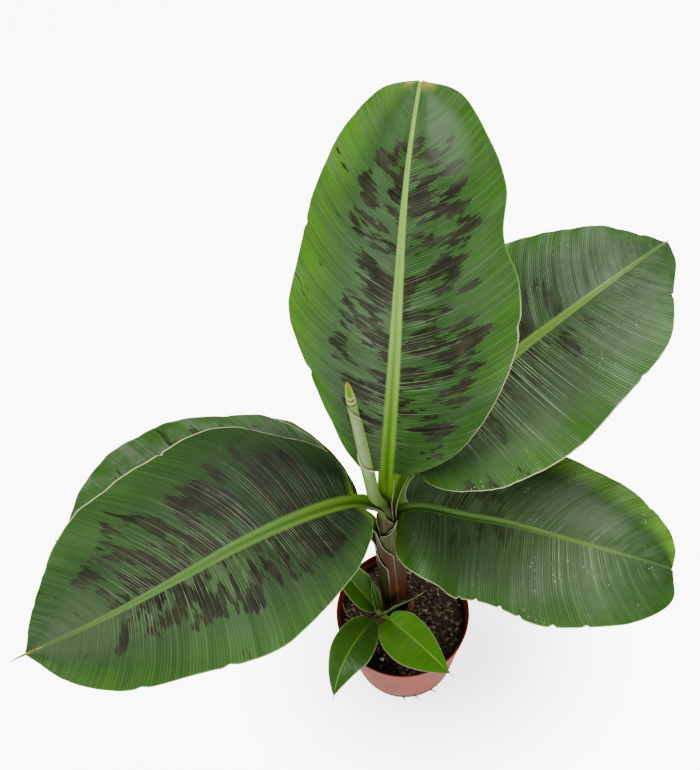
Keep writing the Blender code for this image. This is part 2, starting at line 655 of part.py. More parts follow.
def make_pup():
    """The side shoot: its short stem and its leaves, grown together in one solid."""
    low = PUP_HOLE_FLOOR + GAP
    profile = (
        (0.0, PUP_CROWN),
        (PUP_CROWN_RADIUS * 0.6, PUP_CROWN),
        (PUP_CROWN_RADIUS, PUP_CROWN - 0.0015),
        (mix(PUP_CROWN_RADIUS, PUP_FOOT_RADIUS, 0.5), mix(PUP_CROWN, low, 0.5)),
        (PUP_FOOT_RADIUS - 0.0004, low),
        (0.0, low),
    )
    stem_data = turned("pup", profile, 16)
    for vertex in stem_data.vertices:
        vertex.co.x += PUP_X
        vertex.co.y += PUP_Y
    pup = place_object("pup", stem_data, (0.10, 0.30, 0.03), 0.4)
    shoots = bpy.data.collections.new("pup_leaves")
    for name, leaf in PUP_LEAVES.items():
        out = radians(leaf["turn"][0])
        leaf["start"] = (PUP_X + PUP_LEAF_OFFSET * cos(out), PUP_Y + PUP_LEAF_OFFSET * sin(out))
        leaf["sweep"] = PUP_VEIN_SWEEP
        leaf["back"] = 0.0
        leaf["columns"] = (1.0, 0.5, 0.0)
        leaf["rib"] = PUP_RIB_HALF_WIDTH
        leaf["rib_tip"] = PUP_RIB_HALF_WIDTH * 0.6
        leaf["keel"] = PUP_KEEL_DEPTH
        leaf["petiole_half"] = 0.0020
        leaf["petiole_curl"] = 1 / 0.0030
        leaf["first_thickness"] = 0.0010
        leaf["waves"] = 2.0
        leaf["phase"] = 0.5
        leaf["wave_height"] = 0.0006
        line = midrib(leaf)
        rows = petiole_rows(leaf, line, 4, 1 / 0.0030)
        rows += blade_rows(leaf, line, PUP_BLADE_ROWS)
        item = bpy.data.objects.new("pup_" + name, skin_rows("pup_" + name, rows))
        shoots.objects.link(item)
    union = pup.modifiers.new("grown_together", "BOOLEAN")
    union.operation = "UNION"
    union.operand_type = "COLLECTION"
    union.solver = "MANIFOLD"
    union.collection = shoots
    depsgraph = bpy.context.evaluated_depsgraph_get()
    fused = bpy.data.meshes.new_from_object(pup.evaluated_get(depsgraph))
    pup.modifiers.remove(union)
    pup.data = fused
    for item in list(shoots.objects):
        bpy.data.objects.remove(item)
    bpy.data.collections.remove(shoots)
    return pup


def main():
    for item in list(bpy.data.objects):
        bpy.data.objects.remove(item)
    make_pot()
    make_soil()
    make_corm()
    for name, leaf in LEAVES.items():
        make_leaf(name, finish_leaf(leaf))
    make_rolled_leaf()
    make_scrap()
    make_pup()


main()
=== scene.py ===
"""Looks for the potted banana plant: fine leaves, sheaths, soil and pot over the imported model."""

# %% [markdown]
# # A young banana plant in its nursery pot
#
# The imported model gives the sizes. This script keeps every shape of it and adds what a solid
# model leaves out: the ribbed blades with their maroon marks and pale veins, the waxy sheaths,
# loose soil, and the thin moulded pot. Metres, +Z up, origin on the ground under the pot.

# %% Set up
from math import cos, pi, radians, sin, tau
from types import SimpleNamespace

import bmesh
import bpy
import numpy as np
from mathutils import Matrix, Vector


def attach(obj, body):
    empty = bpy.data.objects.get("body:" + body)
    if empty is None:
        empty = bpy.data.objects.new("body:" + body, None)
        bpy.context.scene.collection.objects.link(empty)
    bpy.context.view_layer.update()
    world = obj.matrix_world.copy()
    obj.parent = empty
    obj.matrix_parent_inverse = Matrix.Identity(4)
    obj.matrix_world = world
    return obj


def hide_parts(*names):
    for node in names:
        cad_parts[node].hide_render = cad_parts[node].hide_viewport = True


MM = 0.001
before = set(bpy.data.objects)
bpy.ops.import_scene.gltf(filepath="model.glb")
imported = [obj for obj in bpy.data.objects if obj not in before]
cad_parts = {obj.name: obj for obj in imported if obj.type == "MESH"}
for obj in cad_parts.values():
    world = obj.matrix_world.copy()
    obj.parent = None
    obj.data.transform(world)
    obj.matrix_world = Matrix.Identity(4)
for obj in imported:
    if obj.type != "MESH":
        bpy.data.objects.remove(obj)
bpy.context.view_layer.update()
view_layer = bpy.context.view_layer
print("nodes:", ", ".join(sorted(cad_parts)))


def show(name, data):
    """A new object in the scene, at the origin."""
    item = bpy.data.objects.new(name, data)
    bpy.context.collection.objects.link(item)
    return item


def stand_in(item, node):
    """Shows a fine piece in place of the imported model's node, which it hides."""
    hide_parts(node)
    print(item.name, len(item.data.polygons), "faces")


# %% [markdown]
# ## Camera
#
# The photographer stood close in front and looked steeply down, with the camera a little
# tilted. An empty to aim at would also do. The angles are given here instead, because they were
# solved from the pot's rim and the leaves, and they keep the picture in register with the photo.

# %% Camera
CAMERA_PLACE = Vector((-0.0288, -0.3895, 1.2097))
CAMERA_PITCH = radians(58.08)
CAMERA_ROLL = radians(6.32)
CAMERA_LENS = 50.0
PICTURE_MIDDLE = (350, 385)
FOCAL_PIXELS = 1069.4

forward = Vector((0.0, cos(CAMERA_PITCH), -sin(CAMERA_PITCH)))
level = Vector((1.0, 0.0, 0.0))
down = Vector((0.0, -sin(CAMERA_PITCH), -cos(CAMERA_PITCH)))
right = level * cos(CAMERA_ROLL) + down * sin(CAMERA_ROLL)
down = down * cos(CAMERA_ROLL) - level * sin(CAMERA_ROLL)
camera_data = bpy.data.cameras.new("camera")
camera_data.lens = CAMERA_LENS
camera_data.sensor_width = 36.0
camera_data.sensor_fit = "AUTO"
camera = show("camera", camera_data)
turn = Matrix((right, -down, -forward)).transposed()
camera.matrix_world = Matrix.Translation(CAMERA_PLACE) @ turn.to_4x4()
bpy.context.scene.camera = camera
print("camera", [round(v, 3) for v in CAMERA_PLACE])


def seen_at(u, v, z):
    """The point at height z that the camera sees at a pixel of a 700 by 770 picture."""
    ray = forward + right * ((u - PICTURE_MIDDLE[0]) / FOCAL_PIXELS)
    ray = ray + down * ((v - PICTURE_MIDDLE[1]) / FOCAL_PIXELS)
    return CAMERA_PLACE + ray * ((z - CAMERA_PLACE.z) / ray.z)


# %% [markdown]
# ## Materials as formulas
#
# Every surface on this plant is a pattern that follows the leaf or the ground, so its material
# is a long chain of small sums. Nodes could be placed one by one. `Look` and `Value` let Python's
# own + - * / place them, so that a surface reads from top to bottom like a calculation.

# %% Values


class Value:
    """A number or colour that a material works out at each point; + - * / add a node to it."""

    def __init__(self, look, socket):
        self.look, self.socket = look, socket

    def __add__(self, other):
        return self.look.calc("ADD", self, other)

    def __sub__(self, other):
        return self.look.calc("SUBTRACT", self, other)

    def __mul__(self, other):
        return self.look.calc("MULTIPLY", self, other)

    def __truediv__(self, other):
        return self.look.calc("DIVIDE", self, other)

    def __abs__(self):
        return self.look.calc("ABSOLUTE", self)

    def step(self, low, high, a=0.0, b=1.0):
        """Eased from a at low to b at high."""
        node = self.look.add("ShaderNodeMapRange", self, low, high, a, b, interpolation_type="SMOOTHSTEP")
        return Value(self.look, node.outputs[0])


print("a Value knows + - * / abs and step")

# %% Looks


class Look:
    """One material, built by calling its methods in order."""

    def __init__(self, name):
        self.material = bpy.data.materials.new(name)
        self.material.use_nodes = True
        self.tree = self.material.node_tree
        self.shader = self.tree.nodes["Principled BSDF"]
        self.shader.inputs["Metallic"].default_value = 0.0
        self.place = Value(self, self.add("ShaderNodeTexCoord").outputs["Object"])

    def put(self, socket, value):
        if isinstance(value, Value):
            self.tree.links.new(value.socket, socket)
        elif hasattr(socket.default_value, "__len__"):
            value = tuple(value)
            socket.default_value = value + (1.0,) * (len(socket.default_value) - len(value))
        else:
            socket.default_value = value

    def add(self, kind, *values, named=None, **settings):
        """A node with its inputs set or linked, in order or by name."""
        node = self.tree.nodes.new(kind)
        for key, value in settings.items():
            setattr(node, key, value)
        for socket, value in zip(node.inputs, values):
            self.put(socket, value)
        for key, value in (named or {}).items():
            self.put(node.inputs[key], value)
        return node

    def calc(self, operation, *values):
        return Value(self, self.add("ShaderNodeMath", *values, operation=operation).outputs[0])

    def blend(self, factor, a, b):
        node = self.add("ShaderNodeMix", named={"Factor": factor, 6: a, 7: b}, data_type="RGBA")
        return Value(self, node.outputs[2])

    def join(self, x, y, z=0.0):
        return Value(self, self.add("ShaderNodeCombineXYZ", x, y, z).outputs[0])

    def split(self, vector):
        return [Value(self, out) for out in self.add("ShaderNodeSeparateXYZ", vector).outputs]

    def noise(self, scale, detail=2.0, rough=0.5, vector=None):
        """Soft random patches, `scale` of them to a metre."""
        vector = vector or self.place
        named = {"Vector": vector, "Scale": scale, "Detail": detail, "Roughness": rough}
        return Value(self, self.add("ShaderNodeTexNoise", named=named).outputs["Fac"])

    def grain(self, x, y, z=0.0, detail=2.0, rough=0.5):
        """Noise that is stretched: each number already holds how fine it is its own way."""
        return self.noise(1.0, detail, rough, self.join(x, y, z))

    def random(self, value):
        node = self.add("ShaderNodeTexWhiteNoise", named={"W": value}, noise_dimensions="1D")
        return Value(self, node.outputs["Value"])

    def spots(self, scale):
        """Distance from the nearest of many scattered points, and that point's own random colour."""
        node = self.add("ShaderNodeTexVoronoi", named={"Vector": self.place, "Scale": scale})
        return Value(self, node.outputs["Distance"]), Value(self, node.outputs["Color"])

    def map(self, name):
        """The two numbers of a UV map."""
        return self.split(Value(self, self.add("ShaderNodeUVMap", uv_map=name).outputs[0]))[:2]

    def bump(self, height, distance):
        node = self.add("ShaderNodeBump", named={"Strength": 1.0, "Distance": distance, "Height": height})
        self.put(self.shader.inputs["Normal"], Value(self, node.outputs[0]))

    def finish(self, colour, roughness, specular=0.5):
        self.put(self.shader.inputs["Base Color"], colour)
        self.put(self.shader.inputs["Roughness"], roughness)
        self.put(self.shader.inputs["Specular IOR Level"], specular)
        return self.material


def scaled(colour, factor):
    return tuple(v * factor for v in colour)


print("half of white:", scaled((1.0, 1.0, 1.0), 0.5))

# %% [markdown]
# ## The numbers of the leaves
#
# A banana leaf starts as a sheath round the stem, narrows to a channelled stalk and opens into
# a blade on both sides of its midrib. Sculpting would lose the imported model's sizes, so a leaf is
# a table: how steeply it rises and where it points along its midrib, how far it folds and bends
# across, and where its two margins run, in millimetres along and out.

# %% Sizes shared by all leaves
SOIL_LEVEL = 0.107
STEM_X, STEM_Y = -0.004, 0.017
STEM_LEAN_X = -0.022
SHEATH_FOOT, SHEATH_TOP = 0.082, 0.355
SHEATH_THICKNESS = 0.0009
SHEATH_EDGE_SHARE = 0.35
SHEATH_PITCH = 0.00165
SHEATH_FIRST_RADIUS = 0.0056
SHEATH_FLARE = 0.12
SHEATH_FLARE_OUT = 0.0012
PETIOLE_HALF_WIDTH = 0.008
PETIOLE_CURL_RADIUS = 0.0085
KEEL_DEPTH, KEEL_TIP_DEPTH = 0.0042, 0.001
RIB_HALF_WIDTH, RIB_TIP_HALF_WIDTH = 0.0055, 0.0012
GROOVE_DEPTH = 0.0011
BLADE_THICKNESS, BLADE_EDGE_SHARE = 0.0008, 0.55
VEIN_SWEEP = 1.65
WAVE_HEIGHT = 0.0025
FRILL_HEIGHT = 0.0006
LAST_ROW = 0.997
print("stem from", SHEATH_FOOT, "to", SHEATH_TOP, "m, soil at", SOIL_LEVEL, "m")

# %% Leaf numbers
LEAVES = {
    "leaf_1": dict(
        layer=0, wrap=150, mouth=0.355, slant=0.065, petiole=0.041, blade=0.327,
        rise=(86, 72, 53, 47, 25), turn=(70, 77, 71), fold=(30, 12, 6), bend=(12, 15, 8),
        left=((0, 8), (2, 18), (20, 33), (54, 50), (92, 67), (148, 86), (194, 79), (250, 66),
              (290, 49), (319, 24), (327, 0)),
        right=((0, 8), (4, 16), (22, 41), (46, 65), (90, 87), (136, 98), (180, 94), (214, 79),
               (252, 77), (292, 56), (320, 31), (327, 0)),
        waves=3.0, phase=0.4, skew=(1.0, 1.08), ragged=0.0009,
        nicks={1: ((0.0014, 0.62, 0.006), (0.002, 0.31, 0.01)), -1: ((0.0016, 0.47, 0.012),)}),
    "leaf_2": dict(
        layer=1, wrap=150, mouth=0.345, slant=0.035, petiole=0.045, blade=0.294,
        rise=(80, 35, 18, 6, -14), turn=(195, 211, 192), fold=(28, 12, 6), bend=(15, 20, 10),
        left=((-4, 8), (-4, 22), (8, 44), (36, 70), (80, 86), (150, 91), (193, 75), (236, 59),
              (268, 32), (286, 9), (294, 0)),
        right=((-4, 8), (0, 26), (8, 44), (40, 73), (86, 106), (150, 104), (200, 99), (235, 82),
               (263, 57), (286, 20), (294, 0)),
        waves=3.5, phase=1.7, skew=(1.3, 1.0), ragged=0.0013,
        nicks={1: ((0.0018, 0.66, 0.008), (0.0014, 0.79, 0.007)),
               -1: ((0.0022, 0.44, 0.004), (0.0018, 0.83, 0.01), (0.002, 0.9, 0.008))}),
    "leaf_3": dict(
        layer=2, wrap=150, mouth=0.34, slant=0.035, petiole=0.05, blade=0.315,
        rise=(85, 38, 23, 9, -19), turn=(46, 27, 39), fold=(28, 12, 6), bend=(15, 20, 10),
        left=((0, 8), (0, 22), (14, 46), (50, 76), (100, 94), (150, 95), (191, 89), (247, 66),
              (281, 42), (303, 14), (315, 0)),
        right=((0, 8), (1, 32), (8, 54), (41, 90), (80, 101), (127, 103), (180, 92), (236, 73),
               (267, 43), (298, 20), (315, 0)),
        waves=3.0, phase=2.9, skew=(1.0, 1.3), ragged=0.0012,
        nicks={1: ((0.0015, 0.93, 0.006),), -1: ((0.0026, 0.86, 0.004), (0.0014, 0.7, 0.006))}),
    "leaf_4": dict(
        layer=3, wrap=140, mouth=0.328, slant=0.03, petiole=0.012, blade=0.245,
        rise=(84, 30, 5, 1, -25), turn=(361, 335, 345), fold=(20, 10, 5), bend=(15, 20, 10),
        left=((-7, 8), (-6, 16), (4, 28), (16, 40), (44, 58), (88, 74), (128, 78), (166, 72),
              (200, 60), (232, 42), (246, 20), (245, 0)),
        right=((-7, 8), (-7, 22), (-4, 46), (10, 74), (34, 82), (90, 79), (148, 83), (185, 72),
               (222, 52), (244, 28), (245, 0)),
        waves=4.0, phase=0.9, skew=(1.0, 1.3), ragged=0.0013,
        nicks={1: ((0.0012, 0.8, 0.006),),
               -1: ((0.0024, 0.44, 0.006), (0.0022, 0.5, 0.005), (0.0026, 0.57, 0.005),
                    (0.002, 0.62, 0.004), (0.0024, 0.69, 0.005), (0.0018, 0.75, 0.004))}),
    "leaf_5": dict(
        layer=4, wrap=105, mouth=0.3, slant=0.04, petiole=0.05, blade=0.262,
        rise=(82, 36, 10, -8, -24), turn=(174, 183, 172), fold=(25, 10, 5), bend=(15, 20, 10),
        left=((0, 8), (0, 24), (14, 46), (50, 74), (100, 88), (150, 84), (200, 62), (240, 32),
              (262, 0)),
        right=((0, 8), (2, 24), (16, 46), (50, 76), (100, 94), (150, 96), (205, 84), (244, 52),
               (262, 0)),
        waves=3.0, phase=2.2, skew=(1.2, 1.0), ragged=0.0012, nicks={}),
    "leaf_6": dict(
        layer=5, wrap=88, mouth=0.27, slant=0.04, petiole=0.045, blade=0.22,
        rise=(82, 38, 12, -8, -22), turn=(160, 166, 170), fold=(25, 10, 5), bend=(15, 20, 10),
        left=((0, 8), (0, 20), (14, 40), (48, 64), (90, 72), (135, 64), (180, 40), (220, 0)),
        right=((0, 8), (2, 20), (18, 38), (50, 60), (84, 72), (130, 66), (180, 40), (220, 0)),
        waves=2.5, phase=1.1, skew=(1.2, 1.0), ragged=0.001, nicks={}),
}
print(len(LEAVES), "leaves, the longest blade", max(leaf["blade"] for leaf in LEAVES.values()), "m")

# %% [markdown]
# ## Smooth curves from few numbers
#
# A leaf's line is smooth, so the few numbers above are read through a curve that passes every
# one of them. A Blender curve object could do it too, but plain arrays let each row of the blade
# be worked out at once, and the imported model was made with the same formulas.

# %% Smooth curves


def smooth(t):
    t = np.clip(t, 0.0, 1.0)
    return t * t * (3.0 - 2.0 * t)


def mix(a, b, t):
    return a + (b - a) * t


def hump(value, middle, width):
    """1 at the middle, falling off like a bell."""
    return np.exp(-((value - middle) / width) ** 2)


def through(places, values, t):
    """Smooth curve through values at the given places, read at t."""
    places = np.asarray(places, float)
    values = np.asarray(values, float)
    t = np.asarray(t, float)
    slopes = np.gradient(values, places, axis=0)
    k = np.clip(np.searchsorted(places, t) - 1, 0, len(places) - 2)
    span = places[k + 1] - places[k]
    q = np.clip((t - places[k]) / span, 0.0, 1.0)
    if values.ndim == 2:
        q = q[..., None]
        span = span[..., None]
    a = values[k] * (1 + 2 * q) * (1 - q) ** 2 + slopes[k] * span * q * (1 - q) ** 2
    b = values[k + 1] * q ** 2 * (3 - 2 * q) + slopes[k + 1] * span * q ** 2 * (q - 1)
    return a + b


print("a curve through 0, 2 and 3 reads", float(through((0, 1, 2), (0, 2, 3), 1.5)), "between 2 and 3")

# %% [markdown]
# ## Round the stem
#
# The stem is nothing but the leaves' sheaths, one round the other. Plain cylinders would do for a
# toy, but this stem leans a little and is thicker at its foot, so its middle and the radius of
# each layer are worked out from the height.

# %% Stem formulas


def stem_axis(z):
    up = np.maximum(np.asarray(z, float) - SOIL_LEVEL, 0.0)
    return STEM_X + STEM_LEAN_X * up, STEM_Y + 0.0 * up


def stem_flare(z):
    t = np.clip((SHEATH_TOP - np.asarray(z, float)) / (SHEATH_TOP - SHEATH_FOOT), 0.0, 1.0)
    return 1.0 + SHEATH_FLARE * t ** 2


def layer_radius(layer, z):
    return float((SHEATH_FIRST_RADIUS + SHEATH_PITCH * layer) * stem_flare(z))


def round_stem(turn):
    """Directions sideways and inwards for something that wraps the stem on the side of `turn`."""
    return np.array([-sin(turn), cos(turn), 0.0]), np.array([-cos(turn), -sin(turn), 0.0])


print("stem at the crown:", [round(float(v), 4) for v in stem_axis(SHEATH_TOP)])

# %% [markdown]
# ## Along a leaf
#
# The line of a leaf is walked step by step from its steepness and its heading. Points in space
# would be more direct, but this way its length is sure. From that line the two halves of the blade
# fold up, and they bend down again towards their margins.

# %% Line and face of a leaf


def midrib(leaf):
    """Places and axes along the leaf's middle line, by distance beyond the sheath's mouth."""
    petiole, blade = leaf["petiole"], leaf["blade"]
    total = petiole + blade
    s = np.linspace(0.0, total, 240)
    knots = (0.0, petiole, petiole + blade / 3, petiole + 2 * blade / 3, total)
    rise = np.radians(through(knots, leaf["rise"], s))
    turn = np.radians(through((0.0, petiole + blade / 2, total), leaf["turn"], s))
    along = np.stack([np.cos(rise) * np.cos(turn), np.cos(rise) * np.sin(turn), np.sin(rise)], 1)
    steps = (along[1:] + along[:-1]) / 2 * (s[1] - s[0])
    first = np.array([*leaf["start"], leaf["mouth"]])
    place = first + np.vstack([np.zeros(3), np.cumsum(steps, 0)])
    level = np.stack([-np.sin(turn), np.cos(turn), np.zeros_like(turn)], 1)
    up = np.cross(along, level)
    roll = radians(leaf.get("roll", 0))
    side = level * cos(roll) + up * sin(roll)
    return dict(s=s, place=place, along=along, side=side, up=up * cos(roll) - level * sin(roll))


def read_line(line, s, *keys):
    return [np.stack([np.interp(s, line["s"], line[key][:, k]) for k in range(3)], -1) for key in keys]


def surface(place, along, side, up, fold, curl, y, over=0.0):
    """Point and normal of the upper face, y metres out from the middle line."""
    curl = np.where(np.abs(curl) < 1e-3, 1e-3, curl)
    out = (np.sin(fold + curl * np.abs(y)) - np.sin(fold)) / curl
    rise = (np.cos(fold) - np.cos(fold + curl * np.abs(y))) / curl
    sign = np.sign(y)
    point = place + along * over + side * (sign * out)[..., None] + up * rise[..., None]
    angle = sign * (fold + curl * np.abs(y))
    normal = up * np.cos(angle)[..., None] - side * np.sin(angle)[..., None]
    return point, normal


def outline(points, q):
    """The blade's outline, millimetres to metres, at fraction q of its own length."""
    points = np.asarray(points, float) * MM
    length = np.r_[0.0, np.cumsum(np.linalg.norm(np.diff(points, axis=0), axis=1))]
    return through(length / length[-1], points, q)


widest = max(outline(LEAVES["leaf_1"]["right"], q)[1] for q in np.linspace(0, 1, 50))
print("the right half of leaf_1 is up to", round(float(widest), 3), "m wide")

# %% [markdown]
# ## From rows to a fine mesh
#
# A leaf could be a plane with modifiers, but its veins, folds and margins all follow its rows,
# so it is built as rows from the start: a grid on the upper face, the same grid a thickness
# below, and a rim between them. Two UV maps carry what the materials need: `veins` holds the
# distance from row to row and how far out a point is, `place` holds metres along and across.

# %% Rows


def spread(count, inner):
    """Columns from the margin in: fractions of the way out, closer at the margin and the rib."""
    t = np.linspace(1.0, 0.0, count)
    return mix(t, np.sin(t * pi / 2) ** 2, inner)


class Rows:
    """Collects a leaf's rows as it goes up the sheath, along the petiole and out the blade."""

    def __init__(self):
        self.top, self.under, self.out, self.place = [], [], [], []

    def add(self, top, under, out, x, y):
        self.top.append(top)
        self.under.append(under)
        self.out.append(out)
        self.place.append(np.stack([np.broadcast_to(x, y.shape), y], -1))


print("columns on one flank:", [round(float(v), 2) for v in spread(8, 0.75)])

# %% [markdown]
# ## Sheath and petiole
#
# The sheath wraps the stem, and towards its mouth it narrows to the petiole, a channel that opens
# slowly. A bent plane would slide out of place as it narrows, so every row is set on its own: an
# arc round the stem's axis for the sheath, and an arc across the leaf's own line for the petiole.

# %% Sheath and petiole


def sheath(rows, leaf, heights, count):
    side, inward = round_stem(radians(leaf["turn"][0]))
    edge = np.linspace(1, -1, count)
    for z in heights:
        radius = layer_radius(leaf["layer"], z)
        place = np.array([*stem_axis(z), z]) - inward * radius
        open_up = smooth((z - (leaf["mouth"] - leaf["slant"])) / leaf["slant"])
        wrap = mix(radians(leaf["wrap"]), PETIOLE_HALF_WIDTH / radius, open_up)
        y = wrap * radius * edge
        top, normal = surface(place, 0.0, side, inward, 0.0, 1.0 / radius, y)
        flare = SHEATH_FLARE_OUT * sin(pi * min(1.0, float(open_up) * 1.1)) * np.abs(edge) ** 4
        top = top - normal * flare[:, None]
        thin = mix(1.0, SHEATH_EDGE_SHARE, smooth((np.abs(edge) - 0.8) / 0.2))[:, None]
        under = top - normal * SHEATH_THICKNESS * float(stem_flare(z)) * thin
        rows.add(top, under, edge, z - leaf["mouth"] - leaf["petiole"], y)


def petiole(rows, leaf, line, count, blade_like):
    even = np.linspace(1, -1, len(blade_like))
    for k in range(1, count + 1):
        t = k / (count + 1)
        s = (leaf["petiole"] - leaf["back"]) * t
        y = mix(even, blade_like, smooth((t - 0.3) / 0.7)) * leaf["petiole_half"]
        flat = smooth((t - 0.35) / 0.65)
        curl = mix(mix(leaf["first_curl"], leaf["petiole_curl"], smooth(t / 0.5)), 0.0, flat)
        fold = radians(leaf["fold"][0]) * flat
        place, side, up = read_line(line, s, "place", "side", "up")
        top, normal = surface(place, 0.0, side, up, fold, curl, y)
        keel = leaf["keel"] * smooth(t / 0.8) * np.clip(1 - (y / (1.2 * leaf["rib"])) ** 2, 0, 1)
        groove = leaf["groove"] * smooth(t / 0.6) * hump(y, 0.0, 0.3 * leaf["rib"])
        thick = mix(leaf["first_thickness"], BLADE_THICKNESS, t) + keel
        under = top - normal * thick[:, None]
        rows.add(top - normal * groove[:, None], under, even, s - leaf["petiole"], y)


print("a petiole is", 2 * PETIOLE_HALF_WIDTH / MM, "mm wide")

# %% [markdown]
# ## Blade
#
# Between its veins the real blade is pleated, its margin waves and is a little torn, and a keel
# runs under the midrib. Displacement in the material would not reach the outline, so the pleats,
# waves and nicks are moved into the rows themselves. The rows bend towards the tip as veins do.

# %% Margins and pleats
PLEATS = ((0.0052, 0.1), (0.0083, 0.16), (0.0141, 0.22), (0.034, 0.35))
FRILL_SHORT, FRILL_LONG = 0.019, 0.043


def ragged_margins(leaf, count):
    """How far each row's two ends wander in and out, smoothed from row to row."""
    rng = np.random.default_rng(leaf["seed"])
    ragged = np.cumsum(rng.normal(0, 1, (count + 1, 2)), 0)
    ragged -= np.linspace(0, 1, count + 1)[:, None] * ragged[-1]
    kernel = np.hanning(7)
    ragged = np.stack([np.convolve(r, kernel / kernel.sum(), "same") for r in ragged.T], 1)
    return ragged / np.abs(ragged).max() * leaf["ragged"]


def ripples(leaf, t, c, y, distance):
    """Long waves, pleats between the veins and a frill at the margin, as a lift off the face."""
    wave = np.sin(tau * leaf["waves"] * t + leaf["phase"] + np.where(y < 0, 1.3, 0.0))
    lift = leaf["wave_height"] * c ** 2 * np.sin(pi * t) * wave
    body = np.clip(np.abs(c) * 6, 0, 1) * (1 - 0.75 * smooth(np.abs(c)))
    for wavelength, height in PLEATS:
        drift = leaf["seed"] * 1.7 + wavelength * 900
        phase = drift + np.where(c < 0, 2.4, 0.0) + 1.6 * np.sin(drift + 2.0 * c)
        lift = lift + leaf["pleat"] * height * MM * body * np.sin(tau * distance / wavelength + phase)
    frill = np.sin(tau * distance / FRILL_SHORT + np.where(y < 0, 2.1, 0.3)) * 0.6
    frill = frill + np.sin(tau * distance / FRILL_LONG + np.where(y < 0, 0.4, 1.9))
    return lift + leaf["frill"] * frill * np.abs(c) ** 5


print("pleats of", [round(wavelength / MM, 1) for wavelength, _ in PLEATS], "mm")

# %% Blade


def blade(rows, leaf, line, count, columns, ribs):
    length, back = leaf["blade"], leaf["back"]
    ragged = ragged_margins(leaf, count)
    for k in range(1, count + 1):
        u = LAST_ROW * k / count
        foot = mix(-back, length, u ** leaf["sweep"])
        share = 1 - max(foot, 0.0) / length
        rib = mix(leaf["rib_tip"], leaf["rib"], share)
        x, y, out = [], [], []
        for sign, points, col in ((1, leaf["left"], 0), (-1, leaf["right"], 1)):
            edge = outline(points, u ** leaf["skew"][col])
            width = edge[1] + ragged[k, col] * smooth(edge[1] / 0.02)
            for depth, centre, spread_u in leaf["nicks"].get(sign, ()):
                width -= depth * hump(u, centre, spread_u)
            ribbed = min(rib, 0.8 * width)
            x.append(mix(foot, edge[0], 0.6 * columns + 0.4 * columns ** 3))
            y.append(sign * mix(ribbed, width, columns))
            out.append(sign * columns)
        x = np.concatenate([x[0], np.full(len(ribs), foot), x[1][::-1]])
        y = np.concatenate([y[0], ribs * ribbed, y[1][::-1]])
        c = np.concatenate([out[0], ribs * 0.0, out[1][::-1]])
        s = leaf["petiole"] + np.clip(x, -back, length)
        over = (x - np.clip(x, -back, length))[:, None]
        t = np.clip(x / length, 0.0, 1.0)
        fold = np.radians(through((0, 0.5, 1), leaf["fold"], t))
        curl = -np.radians(through((0, 0.5, 1), leaf["bend"], t)) / 0.1
        top, normal = surface(*read_line(line, s, "place", "along", "side", "up"), fold, curl, y, over)
        top = top + normal * ripples(leaf, t, c, y, u * leaf["edge_length"])[:, None]
        depth = mix(KEEL_TIP_DEPTH * leaf["keel"] / KEEL_DEPTH, leaf["keel"], share)
        keel = depth * np.clip(1 - (y / (1.2 * rib)) ** 2, 0, 1)
        edge_thin = mix(1.0, BLADE_EDGE_SHARE, smooth((np.abs(c) - 0.9) / 0.1))
        under = top - normal * (BLADE_THICKNESS * edge_thin + keel)[:, None]
        groove = leaf["groove"] * share ** 0.7 * hump(y, 0.0, 0.3 * rib)
        shoulder = 0.25 * leaf["groove"] * share * hump(np.abs(y), 0.75 * rib, 0.25 * rib)
        rows.add(top + normal * (shoulder - groove)[:, None], under, c, foot, y)
        rows.place[-1][:, 0] = x


print("the last row of a blade lies at", LAST_ROW, "of the way")

# %% [markdown]
# ## Skin
#
# The rows are only points so far. A Solidify modifier could give a sheet its thickness, but here
# the underside has its own shape, so both faces are laid as grids and closed along the rim.

# %% Skin


def skin(name, rows, materials):
    """One closed grid body with its two UV maps: upper face, under face and rim."""
    top, under = np.array(rows.top), np.array(rows.under)
    out, place = np.array(rows.out), np.array(rows.place)
    count, width = top.shape[:2]
    middle = width // 4
    steps = np.linalg.norm(np.diff(top[:, middle], axis=0), axis=1)
    steps = (steps + np.linalg.norm(np.diff(top[:, -middle - 1], axis=0), axis=1)) / 2
    distance = np.r_[0.0, np.cumsum(steps)]
    points = np.concatenate([top.reshape(-1, 3), under.reshape(-1, 3)])
    r, c = np.meshgrid(np.arange(count - 1), np.arange(width - 1), indexing="ij")
    a = (r * width + c).ravel()
    upper = np.stack([a, a + 1, a + width + 1, a + width], 1)
    n = count * width
    lower = upper[:, ::-1] + n
    ring = np.concatenate([np.arange(0, width - 1), np.arange(width - 1, n - 1, width),
                           np.arange(n - 1, n - width, -1), np.arange(n - width, 0, -width)])
    follow = np.roll(ring, -1)
    rim = np.stack([ring, ring + n, follow + n, follow], 1)
    data = bpy.data.meshes.new(name)
    data.from_pydata(points.tolist(), [], np.concatenate([upper, lower, rim]).tolist())
    slots = np.repeat((0, 1, 2), (len(upper), len(lower), len(rim)))
    for item in materials:
        data.materials.append(item)
    data.polygons.foreach_set("material_index", slots.astype(np.int32))
    corner = np.empty(len(data.loops), np.int32)
    data.loops.foreach_get("vertex_index", corner)
    both = np.tile(np.stack([np.repeat(distance, width), out.ravel() * 0.5 + 0.5], 1), (2, 1))
    where = np.tile(place.reshape(-1, 2), (2, 1))
    for label, values in (("veins", both), ("place", where)):
        layer = data.uv_layers.new(name=label)
        layer.data.foreach_set("uv", values[corner].ravel().astype(np.float32))
    data.shade_smooth()
    data.set_sharp_from_angle(angle=radians(60))
    item = show(name, data)
    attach(item, "root")
    return item


print("UV maps of a leaf: veins and place")

# %% [markdown]
# ## Leaf surfaces
#
# On the real leaf the veins run out from the midrib, and every mark and streak follows them.
# A painted picture would blur close up, so the pattern is worked out from the leaf's own UV
# maps: each strip between two veins draws its own random values from its number.

